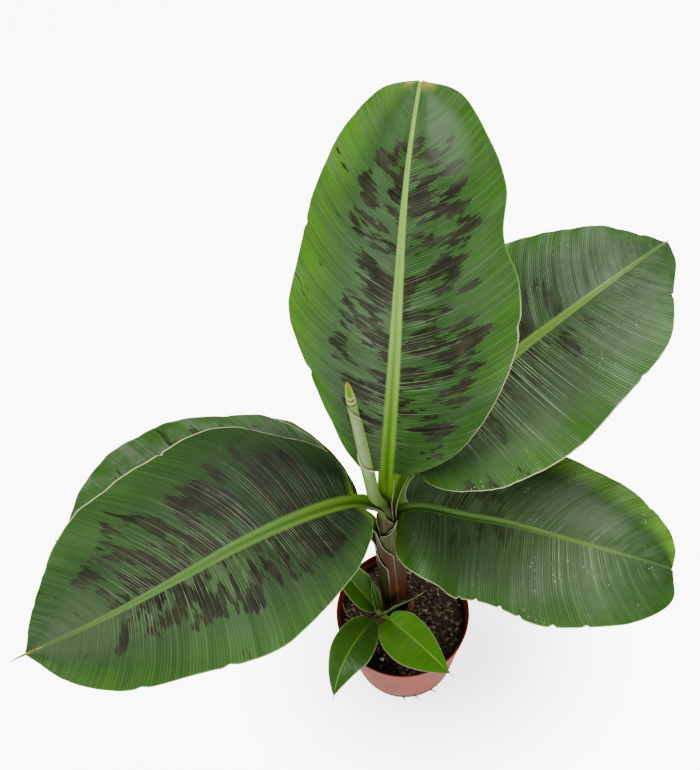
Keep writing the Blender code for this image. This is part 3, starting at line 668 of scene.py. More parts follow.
# %% Leaf places
VEIN_PITCH = 0.0021
STRIP_WIDTH = 0.0013
GROUP_WIDTH = 0.0061
STREAK_PITCH = 0.0025
LINE_PITCH = 0.0068
MIDRIB_SOFT, MARGIN_SOFT, MARK_SOFT = 0.1, 0.3, 0.05


class LeafLook(Look):
    """A leaf's material, with the places that its formulas need."""

    def __init__(self, name, leaf, paint):
        super().__init__(name)
        self.leaf, self.paint = leaf, paint
        self.u, c = self.map("veins")
        self.x, self.y_signed = self.map("place")
        self.c = c * 2.0 - 1.0
        self.a, self.y = abs(self.c), abs(self.y_signed)
        self.t = self.x / leaf["blade"]
        self.rib = self.t.step(0.0, 1.0, leaf["rib"], leaf["rib_tip"])
        self.flank = self.calc("SIGN", self.c) * 7.0
        self.across = self.c + self.flank

    def sides(self, pair, soft):
        """The first value left of the midrib, the second right of it."""
        return self.c.step(-soft, soft, pair[1], pair[0])

    def strips(self, pitch, salt):
        """Strips between veins: the place in the strip, its middle, and a random value for it."""
        place = self.u / pitch
        index = self.calc("FLOOR", place)
        draw = self.random(self.flank * 31.0 + index + salt)
        return self.calc("FRACT", place), (index + 0.5) * pitch, draw

    def thin_line(self, fraction, draw, width):
        """1 on a thin vein that sits somewhere in the middle half of its strip."""
        near = abs(fraction - (draw * 0.5 + 0.25))
        return near.step(width * 0.3, width, 1.0, 0.0)


print("one vein every", round(VEIN_PITCH / MM, 1), "mm")

# %% [markdown]
# ## Greens and maroon marks
#
# The ground is two greens, a lighter margin that is partly its own green and partly painted light
# shining through, a grey painted sheen, painted shade towards the foot, and a dark furrow between
# ribs. The maroon marks are one noise that is cut off at a level. It is read at the middle of each
# strip, so a mark ends square at a vein, and each strip's end is pushed out or in by its own draw.

# %% Greens
FURROW_SHADE = 0.38


def greens(look):
    paint, a, t = look.paint, look.a, look.t
    tone = look.noise(13.0, 3.0)
    green = look.blend(tone.step(0.35, 0.65), paint.dark, paint.light)
    # lighter margin band: partly the leaf's own green, partly painted light shining through it
    rim = a.step(paint.margin_from, 0.98) * look.sides(paint.margin, MARGIN_SOFT)
    rim = rim * look.noise(20.0).step(0.25, 0.6, 0.5, 1.0)
    green = look.blend(rim, green, paint.margin_colour)
    # painted sheen: a grey veil of reflected light, its strength set for each side of the midrib
    dust = look.sides(paint.dust, MIDRIB_SOFT) * a.step(0.45, 0.95, 1.0, 0.15)
    dust = dust * t.step(0.6, 0.85, 1.0, 0.25)
    green = look.blend(dust, green, paint.haze)
    # painted shade towards the leaf's foot, most near the midrib
    green = look.blend(look.shaded * paint.base_dark, green, paint.furrow)
    furrow = abs(look.fraction - 0.5).step(0.15, 0.5) * paint.furrows
    return look.blend(furrow + look.shade * FURROW_SHADE, green, paint.furrow)


print("a vein's own shade is up to", FURROW_SHADE, "of a furrow")

# %% Maroon marks
STRIP_SHIFT, GROUP_SHIFT, STRIP_LEAN = 0.07, 0.13, 0.16
MARK_EDGE = 0.014
SHADE_GREEN = (0.004, 0.009, 0.003)


def maroon_marks(look, green):
    paint, t = look.paint, look.t
    fraction, middle, draw = look.strips(STRIP_WIDTH, 5.3)
    group = look.strips(GROUP_WIDTH, 41.9)[2]
    lean = (fraction - 0.5) * (look.random(middle + 0.71) - 0.5)
    end = (draw - 0.5) * STRIP_SHIFT + look.across
    end = (group - 0.5) * GROUP_SHIFT + end
    end = lean * STRIP_LEAN + end
    along, out = paint.grain
    level = look.grain(middle * along, end * out, look.leaf["seed"] + 0.5, 1.6)
    window = (look.a - look.sides(paint.reach, MARK_SOFT)).step(-0.16, 0.12, 1.0, 0.0)
    window = window * t.step(*paint.since) * t.step(*paint.until, 1.0, 0.0)
    level = level + (window - 1.0) * 0.25 + t.step(0.0, 0.5, paint.base_marks, 0.0)
    threshold = 0.6 - 0.12 * paint.marks
    mark = level.step(threshold, threshold + MARK_EDGE)
    cloud = look.noise(60.0, 3.0).step(0.35, 0.65)
    wine = look.blend(cloud, paint.wine, scaled(paint.wine, 2.2))
    colour = look.blend(mark * paint.mark_depth, green, wine)
    # painted shade towards the leaf's foot, now over the maroon marks too
    return look.blend(look.shaded * (0.45 * paint.base_dark), colour, SHADE_GREEN)


print("a maroon mark steps every", round(STRIP_WIDTH / MM, 1), "mm")

# %% [markdown]
# ## Pale veins, bloom, painted sheen and water spots
#
# Some veins show as pale streaks that start at the midrib and fade outwards, each with its own
# length. One noise for all of them would give blots. Instead the blade is cut into narrow strips
# that follow the veins, and each strip draws its own length and strength. Over them lies a grey
# veil, partly waxy bloom and partly painted sheen, which is what keeps the face from looking like
# plastic, and hard water has dried to small pale spots.

# %% Pale veins


def pale_veins(look, colour):
    paint, a, t = look.paint, look.a, look.t
    fraction, _, draw = look.strips(LINE_PITCH, 11.7)
    line = look.thin_line(fraction, draw, 0.085) * a.step(0.45, 0.95, 0.05, 1.0)
    line = line * a.step(0.9, 0.99, 1.0, 0.5)
    colour = look.blend(line * paint.lines, colour, paint.line_colour)

    fraction, middle, draw = look.strips(STREAK_PITCH, 23.1)
    strength = look.calc("POWER", draw, paint.streak_choice)
    far = strength * 0.5 + paint.streak_reach
    fade = (a / far).step(0.25, 1.15, 1.0, 0.0)
    band = look.grain(look.u * 24.0, look.flank, 7.0, 1.0)
    band = band.step(0.35, 0.62, paint.even, 1.0)
    broken = look.grain(look.u * 160.0, look.across * 7.0, 3.0)
    start, end, *parts = paint.zone
    zone = t.step(start, start + 0.06) * t.step(end, end + 0.12, 1.0, 0.0)
    zone = zone * look.sides(parts, MARK_SOFT) + paint.zone_rest
    line = look.thin_line(fraction, look.random(middle + 0.37), 0.17) * strength
    line = line * fade * (band * zone) * broken.step(0.3, 0.6, 0.3, 1.0)
    line = look.calc("MINIMUM", line * paint.streaks, 0.95)
    return look.blend(line, colour, paint.pale)


print("a pale streak every", STREAK_PITCH / MM, "mm, a fine line every", LINE_PITCH / MM, "mm")

# %% Bloom and spots
DRIED_SPOT = (0.3, 0.33, 0.29)


def bloom_sheen_and_spots(look, colour):
    """The colour under its bloom and painted sheen, and where the dried spots are."""
    paint = look.paint
    # the veil is partly waxy bloom and partly painted sheen
    veil = look.grain(look.u * 26.0, look.across * 2.4, 9.0 + look.leaf["seed"], 4.0, 0.6)
    veil = veil + (look.shade - 0.5) * 0.15
    veil = veil.step(0.42, 0.68) * paint.bloom
    # one broad patch of painted sheen
    t_middle, c_middle, t_reach, c_reach, amount = paint.sheen
    t_off, c_off = (look.t - t_middle) / t_reach, (look.c - c_middle) / c_reach
    sheen = (t_off * t_off + c_off * c_off).step(0.1, 1.0, amount, 0.0)
    sheen = sheen * look.shade.step(0.0, 1.0, 0.6, 1.0)
    colour = look.blend(look.calc("MAXIMUM", veil, sheen), colour, paint.haze)
    gap, pick = look.spots(330.0)
    spot = gap.step(0.14, 0.34, 1.0, 0.0) * look.split(pick)[0].step(0.55, 0.95)
    spot = spot * look.noise(24.0).step(0.52, 0.68) * paint.spots
    return look.blend(spot, colour, DRIED_SPOT), spot


print("colour of a dried spot:", DRIED_SPOT)

# %% [markdown]
# ## Midrib and margins
#
# The midrib is a lime band with a darker groove, and the margin is a thin cream line that turns
# green towards the tip. Both could be strips of their own with their own material. Laid over the
# face's colour they can fade out, as they do on the real leaf.

# %% Midrib and margins
SHEATH_INSIDE, SHEATH_DEPTH_SHADE = (0.11, 0.15, 0.022), (0.055, 0.06, 0.015)
INSIDE_FRINGE = (0.4, 0.42, 0.22)
PALE_EDGE = (0.5, 0.52, 0.26)
SCORCHED, BROWN_TIP = (0.2, 0.055, 0.022), (0.3, 0.25, 0.05)
STALK_END = (-0.006, 0.004)


def midrib_and_margin(look, colour):
    """The colour with its midrib and margin, and where the midrib is."""
    paint, t, x, y, a = look.paint, look.t, look.x, look.y, look.a
    mouth = -look.leaf["petiole"]
    share, reach = y / look.rib, paint.rib_reach
    on_rib = share.step(0.6 * reach, reach, 1.0, 0.0)
    on_rib = on_rib * t.step(0.7, 0.97, 1.0, paint.rib_end)
    on_rib = look.calc("MAXIMUM", on_rib, x.step(*STALK_END, 1.0, 0.0))
    lime = look.blend(t.step(-0.1, 0.5), paint.stalk, paint.rib)
    threads = look.grain(look.y_signed * 1500.0, x * 30.0)
    lime = look.blend(threads.step(0.4, 0.75, 0.0, 0.45), lime, paint.light)
    centre = share.step(0.02, 0.42, 1.0, 0.0) * t.step(0.0, 0.75, paint.groove, 0.0)
    colour = look.blend(on_rib, colour, look.blend(centre, lime, paint.dark))

    inside = x.step(mouth - 0.012, mouth + 0.016, 1.0, 0.0)
    # painted shade: the inside of the sheath darkens deeper down
    deep = x.step(mouth - 0.05, mouth - 0.015)
    colour = look.blend(inside, colour, look.blend(deep, SHEATH_DEPTH_SHADE, SHEATH_INSIDE))
    colour = look.blend(a.step(0.95, 0.975) * inside, colour, INSIDE_FRINGE)
    cream = t.step(*paint.cream_until, 1.0, 0.0) * look.sides(paint.cream, MIDRIB_SOFT)
    border = look.blend(cream, paint.margin_colour, PALE_EDGE)
    colour = look.blend(a.step(paint.border, paint.border + 0.006), colour, border)
    scorch = x.step(0.001, 0.007, 1.0, 0.0) * a.step(0.55, 0.85)
    scorch = scorch * x.step(-0.003, 0.0) * paint.scorch
    colour = look.blend(scorch, colour, SCORCHED)
    brown = t.step(0.965, 0.995) * paint.tip * y.step(0.008, 0.016, 1.0, 0.0)
    brown = brown * look.noise(150.0).step(0.35, 0.6)
    return look.blend(brown, colour, BROWN_TIP), on_rib


print("the stalk turns into the midrib between", *STALK_END, "m")

# %% [markdown]
# ## The upper face
#
# The layers come together here, from the greens up to the midrib. The face is a little rougher
# where water dried, and a low bump follows the veins. Real relief of that size would need millions
# of faces, and a bump looks the same from where a leaf is seen.

# %% Upper face
VEIN_RELIEF = 0.000025


def upper_look(name, leaf, paint):
    look = LeafLook(name, leaf, paint)
    look.fraction, _, look.shade = look.strips(VEIN_PITCH, 0.0)
    # where painted shade falls: the leaf's foot, most near the midrib, fading towards the tip
    look.shaded = look.t.step(0.08, 0.55, 1.0, 0.0) * look.a.step(0.35, 0.95, 1.0, 0.4)
    colour = pale_veins(look, maroon_marks(look, greens(look)))
    colour, spot = bloom_sheen_and_spots(look, colour)
    colour, on_rib = midrib_and_margin(look, colour)
    swell, gloss = look.noise(60.0), paint.gloss
    rough = swell.step(0.3, 0.7, gloss - 0.04, gloss + 0.08)
    rough = rough + (look.shade - 0.5) * 0.14 + spot * 0.2
    ridges = look.calc("SINE", look.u * (tau / VEIN_PITCH))
    height = ridges * on_rib.step(0.0, 1.0, 1.0, 0.0) + (look.shade - 0.5) * 1.2
    look.bump(height + look.noise(900.0) * 0.7, VEIN_RELIEF)
    return look.finish(colour, rough, paint.specular)


print("veins stand out by", VEIN_RELIEF / MM, "mm")

# %% [markdown]
# ## Underside, sheath and edge
#
# The underside is paler and duller. Its lower part is the sheath that one sees as the stem: wine
# brown at the foot and darkened further there as painted shade, olive at the crown, blotched with
# dark old patches, and papery at its edges. One material covers both, because the real leaf
# changes from one to the other without a seam.

# %% Underside and sheath
OLD_SHEATH, SHEATH_WAX, PAPERY = (0.018, 0.008, 0.005), (0.2, 0.21, 0.15), (0.36, 0.38, 0.2)


def under_look(name, leaf, paint):
    look = LeafLook(name, leaf, paint)
    mouth = -leaf["petiole"]
    jitter = look.random(look.calc("FLOOR", look.u / VEIN_PITCH))
    green = look.blend(look.noise(20.0, 3.0), paint.under, paint.light)
    green = look.blend(jitter * 0.25, green, paint.pale)
    keel = (look.y / look.rib).step(0.9, 1.3, 1.0, 0.0)
    keel = look.calc("MAXIMUM", keel, look.x.step(*STALK_END, 1.0, 0.0))
    colour = look.blend(keel, green, paint.keel)

    east, _, z = look.split(look.place)
    bloomed = look.grain(look.y_signed * 90.0, z * 22.0, 4.0, 3.0)
    grain = look.grain(look.y_signed * 700.0, z * 14.0, 0.0, 3.0)
    cloud = look.noise(34.0, 4.0, 0.6)
    patch = look.noise(90.0)
    height = z + (cloud - 0.5) * 0.09 + east * 0.9
    # the foot is the sheath's own wine brown, darkened further as painted shade
    husk = look.blend(height.step(0.13, 0.172), paint.foot, paint.husk)
    husk = look.blend(height.step(0.185, 0.23), husk, paint.middle)
    husk = look.blend(height.step(0.235, 0.29), husk, paint.collar)
    husk = look.blend(grain.step(0.4, 0.65) * 0.6, husk, paint.husk_dark)
    husk = look.blend(patch.step(0.5, 0.7, 0.0, 0.65), husk, paint.husk_dark)
    old = cloud.step(0.47, 0.6) * height.step(0.16, 0.23, 0.85, 0.0)
    husk = look.blend(old, husk, OLD_SHEATH)
    wax = bloomed.step(0.5, 0.7, 0.0, 0.3) * z.step(0.2, 0.28)
    husk = look.blend(wax, husk, SHEATH_WAX)
    on_sheath = look.x.step(mouth - 0.012, mouth + 0.004, 1.0, 0.0)
    colour = look.blend(on_sheath, colour, husk)
    papery = look.a.step(0.965, 0.985) * on_sheath * z.step(0.16, 0.27, 0.25, 1.0)
    colour = look.blend(papery, colour, PAPERY)
    look.bump(grain + jitter * 0.3, 0.00008)
    return look.finish(colour, cloud.step(0.3, 0.7, 0.42, 0.6), 0.25)


print("colour of the papery edge:", PAPERY)

# %% Edge
EDGE_SHADE = 0.55


def edge_look(name, colour):
    look = Look(name)
    grain = look.noise(240.0)
    return look.finish(look.blend(grain.step(0.35, 0.7), scaled(colour, EDGE_SHADE), colour), 0.6)


print("the edge is darkened to", EDGE_SHADE, "in places")

# %% [markdown]
# ## The six leaves
#
# No two leaves of the plant look alike: the upright one is clean and boldly marked, the left one
# is dark, with painted shade towards its foot, the right ones are grey with painted sheen. One
# shared paint with a short list of changes for each leaf keeps them a family. The colours are
# linear values that were matched.

# %% Shared paint
COMMON = dict(
    dark=(0.018, 0.066, 0.006), light=(0.032, 0.105, 0.011), furrow=(0.008, 0.034, 0.003),
    under=(0.06, 0.12, 0.03), margin=(0.6, 0.4), margin_from=0.5,
    margin_colour=(0.085, 0.27, 0.004), marks=0.9, reach=(0.62, 0.62), mark_depth=0.97,
    wine=(0.0095, 0.008, 0.0024), streaks=0.75, streak_reach=0.16, streak_choice=1.3,
    even=0.25, lines=0.25, line_colour=(0.13, 0.28, 0.03), pale=(0.24, 0.3, 0.16), bloom=0.2,
    haze=(0.12, 0.17, 0.09), dust=(0.0, 0.0), sheen=(0.5, 0.0, 1.0, 1.0, 0.0), scorch=0.0,
    base_marks=0.0, base_dark=0.0, spots=0.35, furrows=0.52,
    stalk=(0.15, 0.33, 0.008), rib=(0.23, 0.42, 0.07), groove=0.5, tip=0.0,
    gloss=0.42, specular=0.22, keel=(0.13, 0.24, 0.03), foot=(0.034, 0.005, 0.003),
    husk=(0.15, 0.036, 0.008), middle=(0.115, 0.048, 0.018), collar=(0.125, 0.105, 0.05),
    husk_dark=(0.045, 0.016, 0.006), cream=(0.3, 1.0), cream_until=(0.5, 0.8), border=0.988,
    grain=(96.0, 3.7), rib_reach=1.6, rib_end=0.35, zone=(0.0, 0.5, 1.0, 1.0), zone_rest=0.35,
    since=(0.04, 0.16), until=(0.72, 0.92))
print(len(COMMON), "values of shared paint")

# %% Paint of each leaf
PAINT = {
    "leaf_1": dict(
        dark=(0.026, 0.092, 0.01), light=(0.04, 0.128, 0.014), haze=(0.15, 0.22, 0.13),
        dust=(0.34, 0.06), sheen=(0.88, -0.55, 0.13, 0.36, 0.5), bloom=0.13, spots=0.06,
        margin=(0.95, 0.24), lines=0.26, cream=(0.0, 1.0), cream_until=(0.42, 0.6), tip=0.9,
        marks=0.93, reach=(0.56, 0.76), grain=(108.0, 3.9), scorch=1.0, until=(0.8, 0.96),
        rib=(0.29, 0.53, 0.085), rib_reach=1.42, rib_end=0.85, stalk=(0.125, 0.29, 0.006),
        streaks=0.85, zone=(0.05, 0.5, 1.3, 0.9),
        collar=(0.095, 0.14, 0.022), middle=(0.085, 0.085, 0.025)),
    "leaf_2": dict(
        dark=(0.02, 0.058, 0.012), light=(0.04, 0.096, 0.025), base_marks=0.06, base_dark=0.85,
        furrow=(0.006, 0.022, 0.004), wine=(0.011, 0.0115, 0.0052), furrows=0.36,
        dust=(0.24, 0.12), sheen=(0.86, 0.0, 0.16, 0.8, 0.28), bloom=0.05, spots=0.1,
        specular=0.12, gloss=0.5, stalk=(0.11, 0.24, 0.012), streak_choice=0.9,
        pale=(0.17, 0.21, 0.12), margin=(0.3, 0.12), lines=0.08, cream=(0.3, 1.0),
        cream_until=(0.6, 0.9), marks=0.88, reach=(0.68, 0.78), grain=(104.0, 3.7),
        mark_depth=0.98, rib=(0.095, 0.188, 0.042), streaks=0.72, streak_reach=0.3, even=0.7,
        zone=(0.0, 0.7, 1.2, 1.1), collar=(0.1, 0.125, 0.03), middle=(0.085, 0.075, 0.028)),
    "leaf_3": dict(
        dark=(0.014, 0.056, 0.006), light=(0.028, 0.092, 0.012),
        dust=(0.16, 0.24), sheen=(0.3, -0.45, 0.26, 0.45, 0.38), bloom=0.16, spots=0.8,
        margin=(0.35, 0.3), lines=0.08,
        marks=0.78, reach=(0.62, 0.42), mark_depth=0.85, base_marks=0.1, until=(0.5, 0.8),
        pale=(0.34, 0.4, 0.26), streak_reach=0.34,
        rib=(0.16, 0.31, 0.05), streaks=2.2, zone=(0.08, 0.42, 0.2, 1.3), zone_rest=0.2,
        collar=(0.11, 0.16, 0.025), middle=(0.09, 0.09, 0.025)),
    "leaf_4": dict(
        dust=(0.5, 0.44), specular=0.16, sheen=(0.62, 0.42, 0.26, 0.35, 0.52), bloom=0.12,
        spots=1.3, margin=(1.0, 0.1), margin_from=0.64, margin_colour=(0.165, 0.39, 0.03),
        furrows=0.46, lines=0.1, cream=(0.2, 0.9), marks=0.62, reach=(0.5, 0.34),
        mark_depth=0.5, until=(0.3, 0.55), groove=0.25,
        rib=(0.12, 0.225, 0.055), stalk=(0.09, 0.2, 0.02), rib_reach=1.0,
        streaks=1.0, streak_reach=0.24, zone=(0.05, 0.75, 1.0, 1.2), zone_rest=0.3,
        collar=(0.095, 0.135, 0.03), middle=(0.1, 0.062, 0.022)),
    "leaf_5": dict(
        dark=(0.02, 0.066, 0.013), light=(0.036, 0.108, 0.02), dust=(0.4, 0.4),
        haze=(0.15, 0.19, 0.13), bloom=0.52, spots=0.5, margin=(0.2, 0.2), lines=0.1,
        cream=(1.0, 1.0), cream_until=(1.0, 1.2), marks=0.75, reach=(0.9, 0.9)),
    "leaf_6": dict(
        dark=(0.035, 0.08, 0.01), light=(0.06, 0.12, 0.014), bloom=0.3, spots=0.5,
        margin=(0.6, 0.6), margin_colour=(0.14, 0.21, 0.01), lines=0.1, marks=-3.0,
        foot=(0.04, 0.024, 0.006), husk=(0.048, 0.04, 0.008), middle=(0.042, 0.044, 0.01),
        collar=(0.06, 0.066, 0.018), husk_dark=(0.026, 0.022, 0.006)),
}
print("changed values:", [len(changes) for changes in PAINT.values()])

# %% [markdown]
# ## Growing the leaves
#
# Each leaf is one skin, as on the plant: it starts in the stem as a sheath and ends at the blade's
# tip. Copies of one leaf that are bent by modifiers would be less work, but every leaf has its
# own line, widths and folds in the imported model, so each one is grown from its own numbers.

# %% Dressing a leaf
COLUMNS = spread(22, 0.75)
RIBS = np.array([0.86, 0.62, 0.4, 0.22, 0.08, 0.0, -0.08, -0.22, -0.4, -0.62, -0.86])
SHEATH_ROWS, MOUTH_ROWS, PETIOLE_ROWS = 24, 22, 26
BLADE_ROWS = 320
pieces = {}


def stalk_columns(leaf, columns, ribs):
    """The blade's columns as fractions of the petiole's half width."""
    share = leaf["rib"] / leaf["petiole_half"]
    outer = mix(share, 1.0, columns)
    return np.concatenate([outer, ribs * share, -outer[::-1]])


def dress(label, body, node, leaf, paint, margin, rows, line):
    """Gives a leaf's rows their skin and three materials."""
    skins = [upper_look(label + "_face", leaf, paint), under_look(label + "_back", leaf, paint),
             edge_look(label + "_margin", margin)]
    stand_in(skin(body, rows, skins), node)
    pieces[label] = (rows, line)


print(2 * len(COLUMNS) + len(RIBS), "columns and", BLADE_ROWS, "rows to a blade")

# %% Leaves
for number, (name, leaf) in enumerate(LEAVES.items()):
    x, y = stem_axis(leaf["mouth"])
    radius, toward = layer_radius(leaf["layer"], leaf["mouth"]), radians(leaf["turn"][0])
    leaf.update(
        start=(x + radius * cos(toward), y + radius * sin(toward)), rib=RIB_HALF_WIDTH,
        rib_tip=RIB_TIP_HALF_WIDTH, keel=KEEL_DEPTH, petiole_half=PETIOLE_HALF_WIDTH,
        first_curl=1 / radius, petiole_curl=1 / max(PETIOLE_CURL_RADIUS, radius),
        first_thickness=SHEATH_THICKNESS, wave_height=WAVE_HEIGHT, sweep=VEIN_SWEEP,
        back=-min(0.0, leaf["left"][0][0], leaf["right"][0][0]) * MM, seed=number + 3,
        groove=GROOVE_DEPTH, pleat=1.0, frill=FRILL_HEIGHT, edge_length=leaf["blade"] * 1.15)
    line, rows = midrib(leaf), Rows()
    low = leaf["mouth"] - leaf["slant"]
    heights = np.r_[np.linspace(SHEATH_FOOT, low, SHEATH_ROWS),
                    np.linspace(low, leaf["mouth"], MOUTH_ROWS)[1:]]
    columns = stalk_columns(leaf, COLUMNS, RIBS)
    sheath(rows, leaf, heights, len(columns))
    petiole(rows, leaf, line, PETIOLE_ROWS, columns)
    blade(rows, leaf, line, BLADE_ROWS, COLUMNS, RIBS)
    paint = SimpleNamespace(**{**COMMON, **PAINT[name]})
    dress(name, name + "_fine", name, leaf, paint, paint.margin_colour, rows, line)

# %% [markdown]
# ## The rolled leaf
#
# The next leaf is still rolled like a cigar. It is a tube, like the stem of the side shoot, the
# soil and the threads. A curve with a bevel makes tubes quickly, but its rings are all round and
# alike, so one helper builds a closed tube from rings of any shape.

# %% Tubes


def grid_body(name, rings, material, along=None):
    """A closed tube through rings of points, with an `along` UV map: metres up it, turns round."""
    rings = np.asarray(rings, float)
    count, sides = rings.shape[:2]
    r, c = np.meshgrid(np.arange(count - 1), np.arange(sides), indexing="ij")
    n = (c + 1) % sides
    faces = np.stack([r * sides + c, r * sides + n, (r + 1) * sides + n, (r + 1) * sides + c], -1)
    ends = [list(range(sides))[::-1], list(range((count - 1) * sides, count * sides))]
    data = bpy.data.meshes.new(name)
    data.from_pydata(rings.reshape(-1, 3).tolist(), [], faces.reshape(-1, 4).tolist() + ends)
    data.materials.append(material)
    if along is not None:
        layer = data.uv_layers.new(name="along")
        turns = np.stack([c, c + 1, c + 1, c], -1) / sides
        climb = np.stack([along[r], along[r], along[r + 1], along[r + 1]], -1)
        values = np.zeros((len(data.loops), 2), np.float32)
        values[:4 * len(faces.reshape(-1, 4))] = np.stack([climb.ravel(), turns.ravel()], 1)
        layer.data.foreach_set("uv", values.ravel())
    data.shade_smooth()
    data.set_sharp_from_angle(angle=radians(50))
    item = show(name, data)
    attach(item, "root")
    return item


def round_ring(x, y, z, radius, angles):
    """One ring of points; any of the numbers may be an array, one for each angle."""
    return np.stack([x + radius * np.cos(angles), y + radius * np.sin(angles), z + 0.0 * angles], 1)


def full_turn(sides):
    return tau * np.arange(sides) / sides


print("a turn in four steps:", [round(float(v), 2) for v in full_turn(4)])

# %% Rolled leaf surface
ROLL_RADIUS = 0.006
ROLL_ELBOW = np.array((-0.019, 0.01, 0.382))
ROLL_TIP = np.array((-0.031, 0.02, 0.558))
CAP_START = 0.905
CAP_RINGS = (0.907, 0.88)
ROLL_GREEN, ROLL_LIGHT, ROLL_BLOOM_AND_SHEEN = (0.17, 0.35, 0.045), (0.31, 0.52, 0.1), (0.48, 0.59, 0.37)
SEAM_SHADE, SEAM_EDGE = (0.03, 0.085, 0.01), (0.64, 0.68, 0.33)
ROLL_LOW, ROLL_LOWEST = (0.13, 0.23, 0.05), (0.075, 0.12, 0.022)
CAP_GREEN, CAP_YELLOW, CAP_TIP = (0.17, 0.33, 0.02), (0.45, 0.56, 0.03), (0.6, 0.33, 0.03)
RING_PALE, RING_SHADE = (0.64, 0.62, 0.22), (0.06, 0.1, 0.015)


def roll_look():
    look = Look("rolled_leaf_skin")
    climb, turns = look.map("along")
    lines = look.grain(turns * 70.0, climb * 7.0, 0.0, 3.0)
    cloud = look.noise(55.0, 3.0)
    colour = look.blend(lines.step(0.3, 0.7), ROLL_GREEN, ROLL_LIGHT)
    x, _, z = look.split(look.place)
    lean = (ROLL_TIP[0] - ROLL_ELBOW[0]) / (ROLL_TIP[2] - ROLL_ELBOW[2])
    middle = z * lean + (ROLL_ELBOW[0] - lean * ROLL_ELBOW[2])
    aside = abs(x - middle) / ROLL_RADIUS
    # pale bloom: waxy, and strongest down the middle as seen from the front, where it is painted sheen
    bloom = cloud.step(0.3, 0.65, 0.25, 0.75) * climb.step(0.1, 0.3)
    bloom = bloom * climb.step(0.76, 0.84, 1.0, 0.3) * aside.step(0.15, 0.75, 1.0, 0.0)
    colour = look.blend(bloom, colour, ROLL_BLOOM_AND_SHEEN)
    # painted shadow where the inner layer shows just past the seam, under the overlapping margin
    colour = look.blend(turns.step(0.0, 0.16, 0.92, 0.0), colour, SEAM_SHADE)
    colour = look.blend(turns.step(0.955, 0.975), colour, SEAM_EDGE)
    colour = look.blend(climb.step(0.1, 0.42, 0.7, 0.0), colour, ROLL_LOW)
    colour = look.blend(climb.step(0.02, 0.16, 0.95, 0.0), colour, ROLL_LOWEST)
    cap = climb.step(CAP_START, CAP_START + 0.01)
    green_top = look.blend(aside.step(0.1, 0.5), CAP_GREEN, CAP_YELLOW)
    tip = look.blend(climb.step(0.965, 0.995), green_top, CAP_TIP)
    colour = look.blend(cap, colour, tip)
    for ring in CAP_RINGS:
        colour = look.blend(abs(climb - ring).step(0.004, 0.009, 1.0, 0.0), colour, RING_PALE)
        # painted shade just below each ring
        below = abs(climb - (ring - 0.013))
        colour = look.blend(below.step(0.002, 0.007, 0.8, 0.0), colour, RING_SHADE)
    look.bump(lines, 0.0002)
    return look.finish(colour, cloud.step(0.3, 0.7, 0.5, 0.62), 0.3)


print("the cap starts at", CAP_START, "of the way up")

# %% [markdown]
# ## The shape of the roll
#
# A spiral sheet would be the true shape, but only its free margins show, as two low steps that
# wind up it. So the tube's radius jumps once round, and the place of the jump turns on the way up.
# Its tip is a cap with two rings.

# %% Rolled leaf
ROLL_FOOT, ROLL_BEND_HEIGHT = 0.084, 0.352
ROLL_RADIUS_IN_STEM = 0.005
ROLL_STEP = 0.0011
ROLL_SIDES = 96
SEAM_PITCH, SEAM_FRONT, SEAM_TOP = 0.385, 0.813, 0.85
ROLL_SHAPE = ((0.04, 1.0), (0.16, 1.0), (0.3, 0.96), (0.45, 0.88), (0.6, 0.8), (0.75, 0.72),
              (0.835, 0.64), (0.86, 0.55), (0.92, 0.47), (0.96, 0.36), (0.99, 0.15))
CAP_RING_HEIGHT = 0.0005

roll_foot = np.array([*stem_axis(ROLL_FOOT), ROLL_FOOT])
roll_bend = np.array([*stem_axis(ROLL_BEND_HEIGHT), ROLL_BEND_HEIGHT])
knots = [(mix(roll_foot, roll_bend, t), ROLL_RADIUS_IN_STEM) for t in (0.0, 0.5, 0.96)]
knots += [(mix(roll_bend, ROLL_ELBOW, t), mix(ROLL_RADIUS_IN_STEM, ROLL_RADIUS, r))
          for t, r in ((0.35, 0.1), (0.75, 0.8))]
knots += [(mix(ROLL_ELBOW, ROLL_TIP, t), ROLL_RADIUS * r) for t, r in ROLL_SHAPE]
knot_place = np.array([place for place, _ in knots])
knot_radius = np.array([radius for _, radius in knots])
knot_z = knot_place[:, 2]
heights = np.concatenate([np.linspace(ROLL_FOOT, ROLL_BEND_HEIGHT, 30),
                          np.linspace(ROLL_BEND_HEIGHT, knot_z[-1], 190)[1:]])
climbs = (heights - ROLL_BEND_HEIGHT) / (ROLL_TIP[2] - ROLL_BEND_HEIGHT)
rings = []
for z, climb in zip(heights, climbs):
    x, y, _ = through(knot_z, knot_place, z)
    radius = float(np.interp(z, knot_z, knot_radius))
    lap = (max(climb, 0.0) - SEAM_FRONT) / SEAM_PITCH
    start = radians(270) - tau * lap - 0.8 * sin(tau * lap)
    step = ROLL_STEP * radius / ROLL_RADIUS * smooth((SEAM_TOP - climb) / 0.04)
    r = radius - step * (1 - np.arange(ROLL_SIDES) / (ROLL_SIDES - 1))
    for ring in CAP_RINGS:
        r = r + CAP_RING_HEIGHT * hump(climb, ring, 0.006)
    rings.append(round_ring(x, y, z, r, start + full_turn(ROLL_SIDES)))
stand_in(grid_body("rolled_leaf_fine", rings, roll_look(), climbs), "rolled_leaf")

# %% [markdown]
# ## The dry scrap
#
# At the foot of the stem hangs a torn remnant of an old sheath. It wraps the stem as a sheath
# does, so the same rows make it, with a wavering width for the torn edge.

# %% Dry scrap
SCRAP_FOOT, SCRAP_TOP = 0.096, 0.134
SCRAP_TURN, SCRAP_WRAP = radians(318), radians(28)
SCRAP_LAYER = len(LEAVES)
SCRAP_GAP, SCRAP_DROOP, SCRAP_CREASE = 0.0012, 0.003, 0.0004


